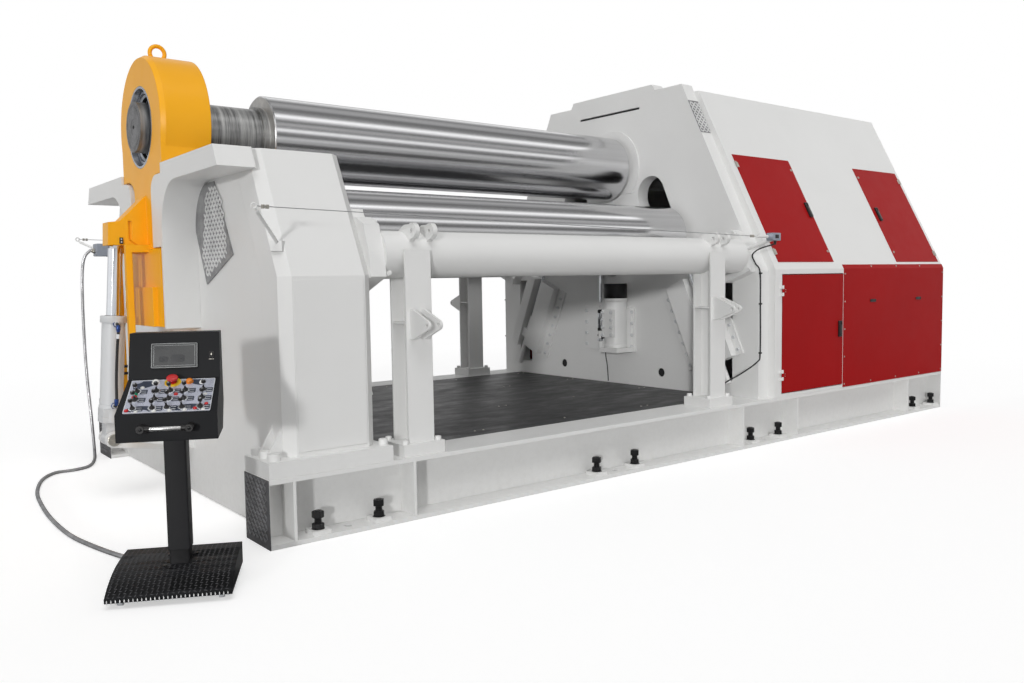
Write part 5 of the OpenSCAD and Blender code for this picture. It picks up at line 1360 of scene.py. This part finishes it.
def domedButton(bm, x, y, radius, height, base=3.0):
    profile = [(0, radius + 2.5), (2.4, radius + 2.5), (3, radius + 1)]
    profile += [(3, radius), (height * 0.55, radius)]
    for k in range(1, 6):
        a = math.radians(17 * k)
        profile.append((height * (0.55 + 0.45 * math.sin(a)), radius * math.cos(a)))
    addTurned(bm, profile, (x, y, base), segments=28)


stopFacts = {"middle": (-2, 204), "ring": 32, "cap": 23}


def makeControls():
    z = plateFacts["thick"]
    stopPlace, ring, cap = (*stopFacts["middle"], z), stopFacts["ring"], stopFacts["cap"]
    boot, collar = leverStamps()
    places = [(slopeFrame, (x, y, z), (0.1 * math.sin(x), 0.12 * math.cos(3 * y + x), 1), 0)
              for x in stickColumns for y in stickRows]
    stampOn("leverBoots", boot, places, blackPlastic, stands=["console_controls"])
    stampOn("leverCollars", collar, places, chromeSteel)
    groups = {
        "greenButton": (signalGreen, [(-133, 128, 8, 9)]),
        "redButtons": (signalRed, [(-133, 112, 8, 9), (-148, 24, 6, 7), (103, 24, 6, 7), (142, 52, 5, 6),
                                   (20, 122, 6, 7)]),
        "whiteButtons": (lampWhite, [(-66, 204, 13, 15), (-112, 14.5, 5, 6), (-46, 14.5, 6, 8),
                                     (10, 14.5, 6, 8), (66, 14.5, 6, 8), (134, 14.5, 5, 6),
                                     (112, 196, 10, 11), (132, 116, 5, 6), (-112, 172, 6, 7)]),
        "orangeLamp": (signalOrange, [(62, 204, 13, 15)]),
    }
    for name, (material, spots) in groups.items():
        bm = bmesh.new()
        for x, y, radius, height in spots:
            domedButton(bm, x, y, radius, height, z)
        makePiece(name, bm, slopeFrame, material)
    bm = bmesh.new()
    addTurned(bm, [(0, ring), (1.8, ring), (2.4, ring - 1)], stopPlace, segments=48)
    makePiece("stopRing", bm, slopeFrame, signalYellow)
    bm = bmesh.new()
    profile = [(2, 16), (8, 16), (9, 11), (15, 11), (16, 20), (18, 22.5), (23, cap)]
    for k in range(1, 7):
        a = math.radians(14 * k)
        profile.append((23 + 9 * math.sin(a), cap * math.cos(a)))
    addTurned(bm, profile, stopPlace, segments=48)
    makePiece("stopButton", bm, slopeFrame, signalRed, smooth=40)


makeControls()


# Console: touch screen, port and handle
def makeScreen():
    flat = Matrix.Rotation(math.radians(90), 4, "X")
    place = screenFrame @ flat
    bm = bmesh.new()
    addRim(bm, -89, 43, 89, 144, 4, 2.2, 0, 9)
    addRim(bm, -80, 51, 80, 136, 2, 1.5, 8, 8.7)
    makePiece("screenFrame", bm, place, screenLine)
    bm = bmesh.new()
    addPrism(bm, roundedOutline(-87.5, 44.5, 87.5, 142.5, 3), 0, 8.3)
    makePiece("screenGlass", bm, place, screenGlass)
    bm = bmesh.new()
    addPrism(bm, roundedOutline(-70, 124, -20, 127, 1, 2), 8.2, 8.5)
    addPrism(bm, roundedOutline(-14, 64, 40, 96, 8, 4), 8.2, 8.45)
    addPrism(bm, roundedOutline(-60, 66, -24, 90, 8, 4), 8.2, 8.45)
    makePiece("screenShapes", bm, place, screenShade)
    bm = bmesh.new()
    addRim(bm, 134, 84, 152, 108, 3, 3, 0, 3)
    addBox(bm, (139, 89, 0), (147, 103, 1.4), 0.6)
    makePiece("dataPort", bm, place, blackPlastic)
    bm = bmesh.new()
    addBox(bm, (140.5, 91, 1.2), (145.5, 101, 2.2), 0.3)
    addPrism(bm, roundedOutline(133, 74, 153, 76.5, 1, 2), 0, 0.4)
    makePiece("dataPortTongue", bm, place, zincPlate)


handleFacts = {"middle": (20, -239, 704), "reach": 88, "grip": 57}


def makeHandle(facts):
    x0, y, z = facts["middle"]
    reach, grip = facts["reach"], facts["grip"]
    bm = bmesh.new()
    addTurned(bm, [(-60, 8), (-59, 8.4), (59, 8.4), (60, 8)], (x0, y, z), (1, 0, 0), 28)
    makePiece("handleBar", bm, consoleFrame, zincBright)
    bm = bmesh.new()
    for s in (-1, 1):
        addTurned(bm, [(0, 9), (2, 11.5), (26, 12), (40, 13), (47, 10)], (x0 + s * grip, y, z), (s, 0, 0), 24)
        addTurned(bm, [(0, 13), (14, 12), (24, 14), (33.5, 17)], (x0 + s * reach, y, z), (0, 1, 0), 28)
        addTurned(bm, [(-2, 14), (0, 15), (6, 15)], (x0 + s * reach, y - 12, z), (0, 1, 0), 28)
    makePiece("handleEnds", bm, consoleFrame, blackPlastic)
    caps = [(consoleFrame, (x0 + s * reach, y - 13, z), (0, -1, 0), 0) for s in (-1, 1)]
    stampOn("handleScrews", panelScrew, caps, blackOxide)


zincBright = grained("zincBright", (0.74, 0.74, 0.73), 0.24, 0.85, 300, 0.0001, 0.05)
makeScreen()
makeHandle(handleFacts)
print("console done")


# Studio: a pale floor that fades to white, two soft lamps, and panels that only reflections see
studioFacts = {"ambient": 0.3, "key": 1.05, "keyFrom": (-1, -0.9, 0.16), "keySoft": 4, "top": 1.2,
               "topFrom": (-0.2, -0.5, 1), "topSoft": 40, "floorTone": 0.66, "floorLift": 0.53,
               "fadeFrom": 5.0, "fadeTo": 9}


def makeWorld(facts):
    world = bpy.data.worlds.new("studio")
    scene.world = world
    world.use_nodes = True
    tree = world.node_tree
    light = tree.nodes["Background"]
    light.inputs[0].default_value = (1, 1, 1, 1)
    light.inputs[1].default_value = facts["ambient"]
    white = addNode(tree, "ShaderNodeBackground", {"Color": (1, 1, 1, 1), "Strength": 1.0})
    path = addNode(tree, "ShaderNodeLightPath")
    either = addNode(tree, "ShaderNodeMath", {0: path.outputs["Is Camera Ray"],
                                              1: path.outputs["Is Glossy Ray"]}, operation="MAXIMUM")
    seen = addNode(tree, "ShaderNodeMath", {0: either.outputs[0], 1: path.outputs["Is Transmission Ray"]},
                   operation="MAXIMUM")
    mix = addNode(tree, "ShaderNodeMixShader", {0: seen.outputs[0], 1: light.outputs[0], 2: white.outputs[0]})
    tree.links.new(mix.outputs[0], tree.nodes["World Output"].inputs[0])


def stageObject(name, bm, material):
    mesh = bpy.data.meshes.new(name)
    bm.to_mesh(mesh)
    bm.free()
    mesh.materials.append(material)
    obj = bpy.data.objects.new(name, mesh)
    scene.collection.objects.link(obj)
    return obj


def makeFloor(facts):
    bm = bmesh.new()
    bmesh.ops.create_grid(bm, x_segments=1, y_segments=1, size=60)
    material, tree, shader = startMaterial("floorWhite", (facts["floorTone"],) * 3, 0.9)
    shader.inputs["Specular IOR Level"].default_value = 0.1
    away = addNode(tree, "ShaderNodeVectorMath", {0: objectPlace(tree).outputs[0]}, operation="LENGTH")
    fade = addRange(tree, away.outputs["Value"], 0, 1, facts["fadeFrom"], facts["fadeTo"])
    path = addNode(tree, "ShaderNodeLightPath")
    amount = addNode(tree, "ShaderNodeMath", {0: fade.outputs[0], 1: path.outputs["Is Camera Ray"]},
                     operation="MULTIPLY")
    white = addNode(tree, "ShaderNodeEmission", {"Color": (1, 1, 1, 1), "Strength": 1.0})
    seen = addNode(tree, "ShaderNodeMath", {0: path.outputs["Is Camera Ray"], 1: facts["floorLift"]},
                   operation="MULTIPLY")
    glow = addNode(tree, "ShaderNodeEmission", {"Color": (1, 1, 1, 1), "Strength": seen.outputs[0]})
    lifted = addNode(tree, "ShaderNodeAddShader", {0: shader.outputs[0], 1: glow.outputs[0]})
    mix = addNode(tree, "ShaderNodeMixShader", {0: amount.outputs[0], 1: lifted.outputs[0],
                                                2: white.outputs[0]})
    tree.links.new(mix.outputs[0], tree.nodes["Material Output"].inputs[0])
    stageObject("floor", bm, material)


def showOnlyInReflections(panel):
    panel.visible_camera = False
    panel.visible_diffuse = False
    panel.visible_shadow = False
    panel.visible_transmission = False


# Dark cloths on the floor along both long sides, seen by reflections alone
def makeFloorCloths():
    bm = bmesh.new()
    for side in (-1, 1):
        corners = [(-5.5, 1.75), (5.5, 1.75), (5.5, 8), (-5.5, 8)]
        face = bm.faces.new([bm.verts.new((x, side * y, 0.004)) for x, y in corners])
        if side < 0:
            face.normal_flip()
    material = startMaterial("clothDark", (0.06, 0.06, 0.06), 0.95)[0]
    showOnlyInReflections(stageObject("floorCloths", bm, material))


# A wide arched panel over the machine that only reflections see, striped along the rolls
panelFacts = {"radius": 11, "half": 16, "steps": 90, "strength": 2.0, "stops": [
    (0.0, 0.55), (0.05, 0.8), (0.085, 0.14), (0.13, 0.28), (0.17, 1.6), (0.20, 0.25), (0.25, 0.6),
    (0.29, 0.12), (0.33, 0.8), (0.36, 1.8), (0.40, 0.4), (0.47, 0.16), (0.55, 0.6), (0.62, 0.22),
    (0.72, 1.1), (0.8, 0.4), (0.9, 0.8), (1.0, 0.6)]}     # place along the arch, brightness


def makeStreakPanel(facts):
    bm = bmesh.new()
    rows = []
    radius, half, steps = facts["radius"], facts["half"], facts["steps"]
    for k in range(steps + 1):
        a = math.pi * (0.02 + 0.96 * k / steps)
        rows.append([bm.verts.new((x, -radius * math.cos(a), radius * math.sin(a))) for x in (-half, half)])
    for a, b in zip(rows, rows[1:]):
        bm.faces.new((a[0], a[1], b[1], b[0]))
    material = bpy.data.materials.new("reflectionStreaks")
    material.use_nodes = True
    tree = material.node_tree
    coordinates = addNode(tree, "ShaderNodeTexCoord")
    place = addNode(tree, "ShaderNodeSeparateXYZ", {"Vector": coordinates.outputs["Object"]})
    back = addNode(tree, "ShaderNodeMath", {0: place.outputs[1], 1: -1.0}, operation="MULTIPLY")
    angle = addNode(tree, "ShaderNodeMath", {0: place.outputs[2], 1: back.outputs[0]}, operation="ARCTAN2")
    part = addNode(tree, "ShaderNodeMath", {0: angle.outputs[0], 1: 1 / math.pi}, operation="MULTIPLY")
    ramp = addNode(tree, "ShaderNodeValToRGB", {"Fac": part.outputs[0]})
    stops, strength = facts["stops"], facts["strength"]
    elements = ramp.color_ramp.elements
    while len(elements) > 1:
        elements.remove(elements[-1])
    elements[0].position = stops[0][0]
    elements[0].color = (stops[0][1] / strength,) * 3 + (1,)
    for position, level in stops[1:]:
        elements.new(position).color = (level / strength,) * 3 + (1,)
    glow = addNode(tree, "ShaderNodeEmission", {"Color": ramp.outputs[0], "Strength": strength})
    tree.links.new(glow.outputs[0], tree.nodes["Material Output"].inputs[0])
    showOnlyInReflections(stageObject("streakPanel", bm, material))


def makeSun(name, source, strength, soft):
    data = bpy.data.lights.new(name, "SUN")
    data.energy = strength
    data.angle = math.radians(soft)
    lamp = bpy.data.objects.new(name, data)
    lamp.rotation_euler = Vector(source).to_track_quat("Z", "Y").to_euler()
    scene.collection.objects.link(lamp)


makeWorld(studioFacts)
makeFloor(studioFacts)
makeStreakPanel(panelFacts)
makeFloorCloths()
makeSun("keyLight", studioFacts["keyFrom"], studioFacts["key"], studioFacts["keySoft"])
makeSun("topLight", studioFacts["topFrom"], studioFacts["top"], studioFacts["topSoft"])
scene.view_settings.view_transform = "Standard"
print("studio done")
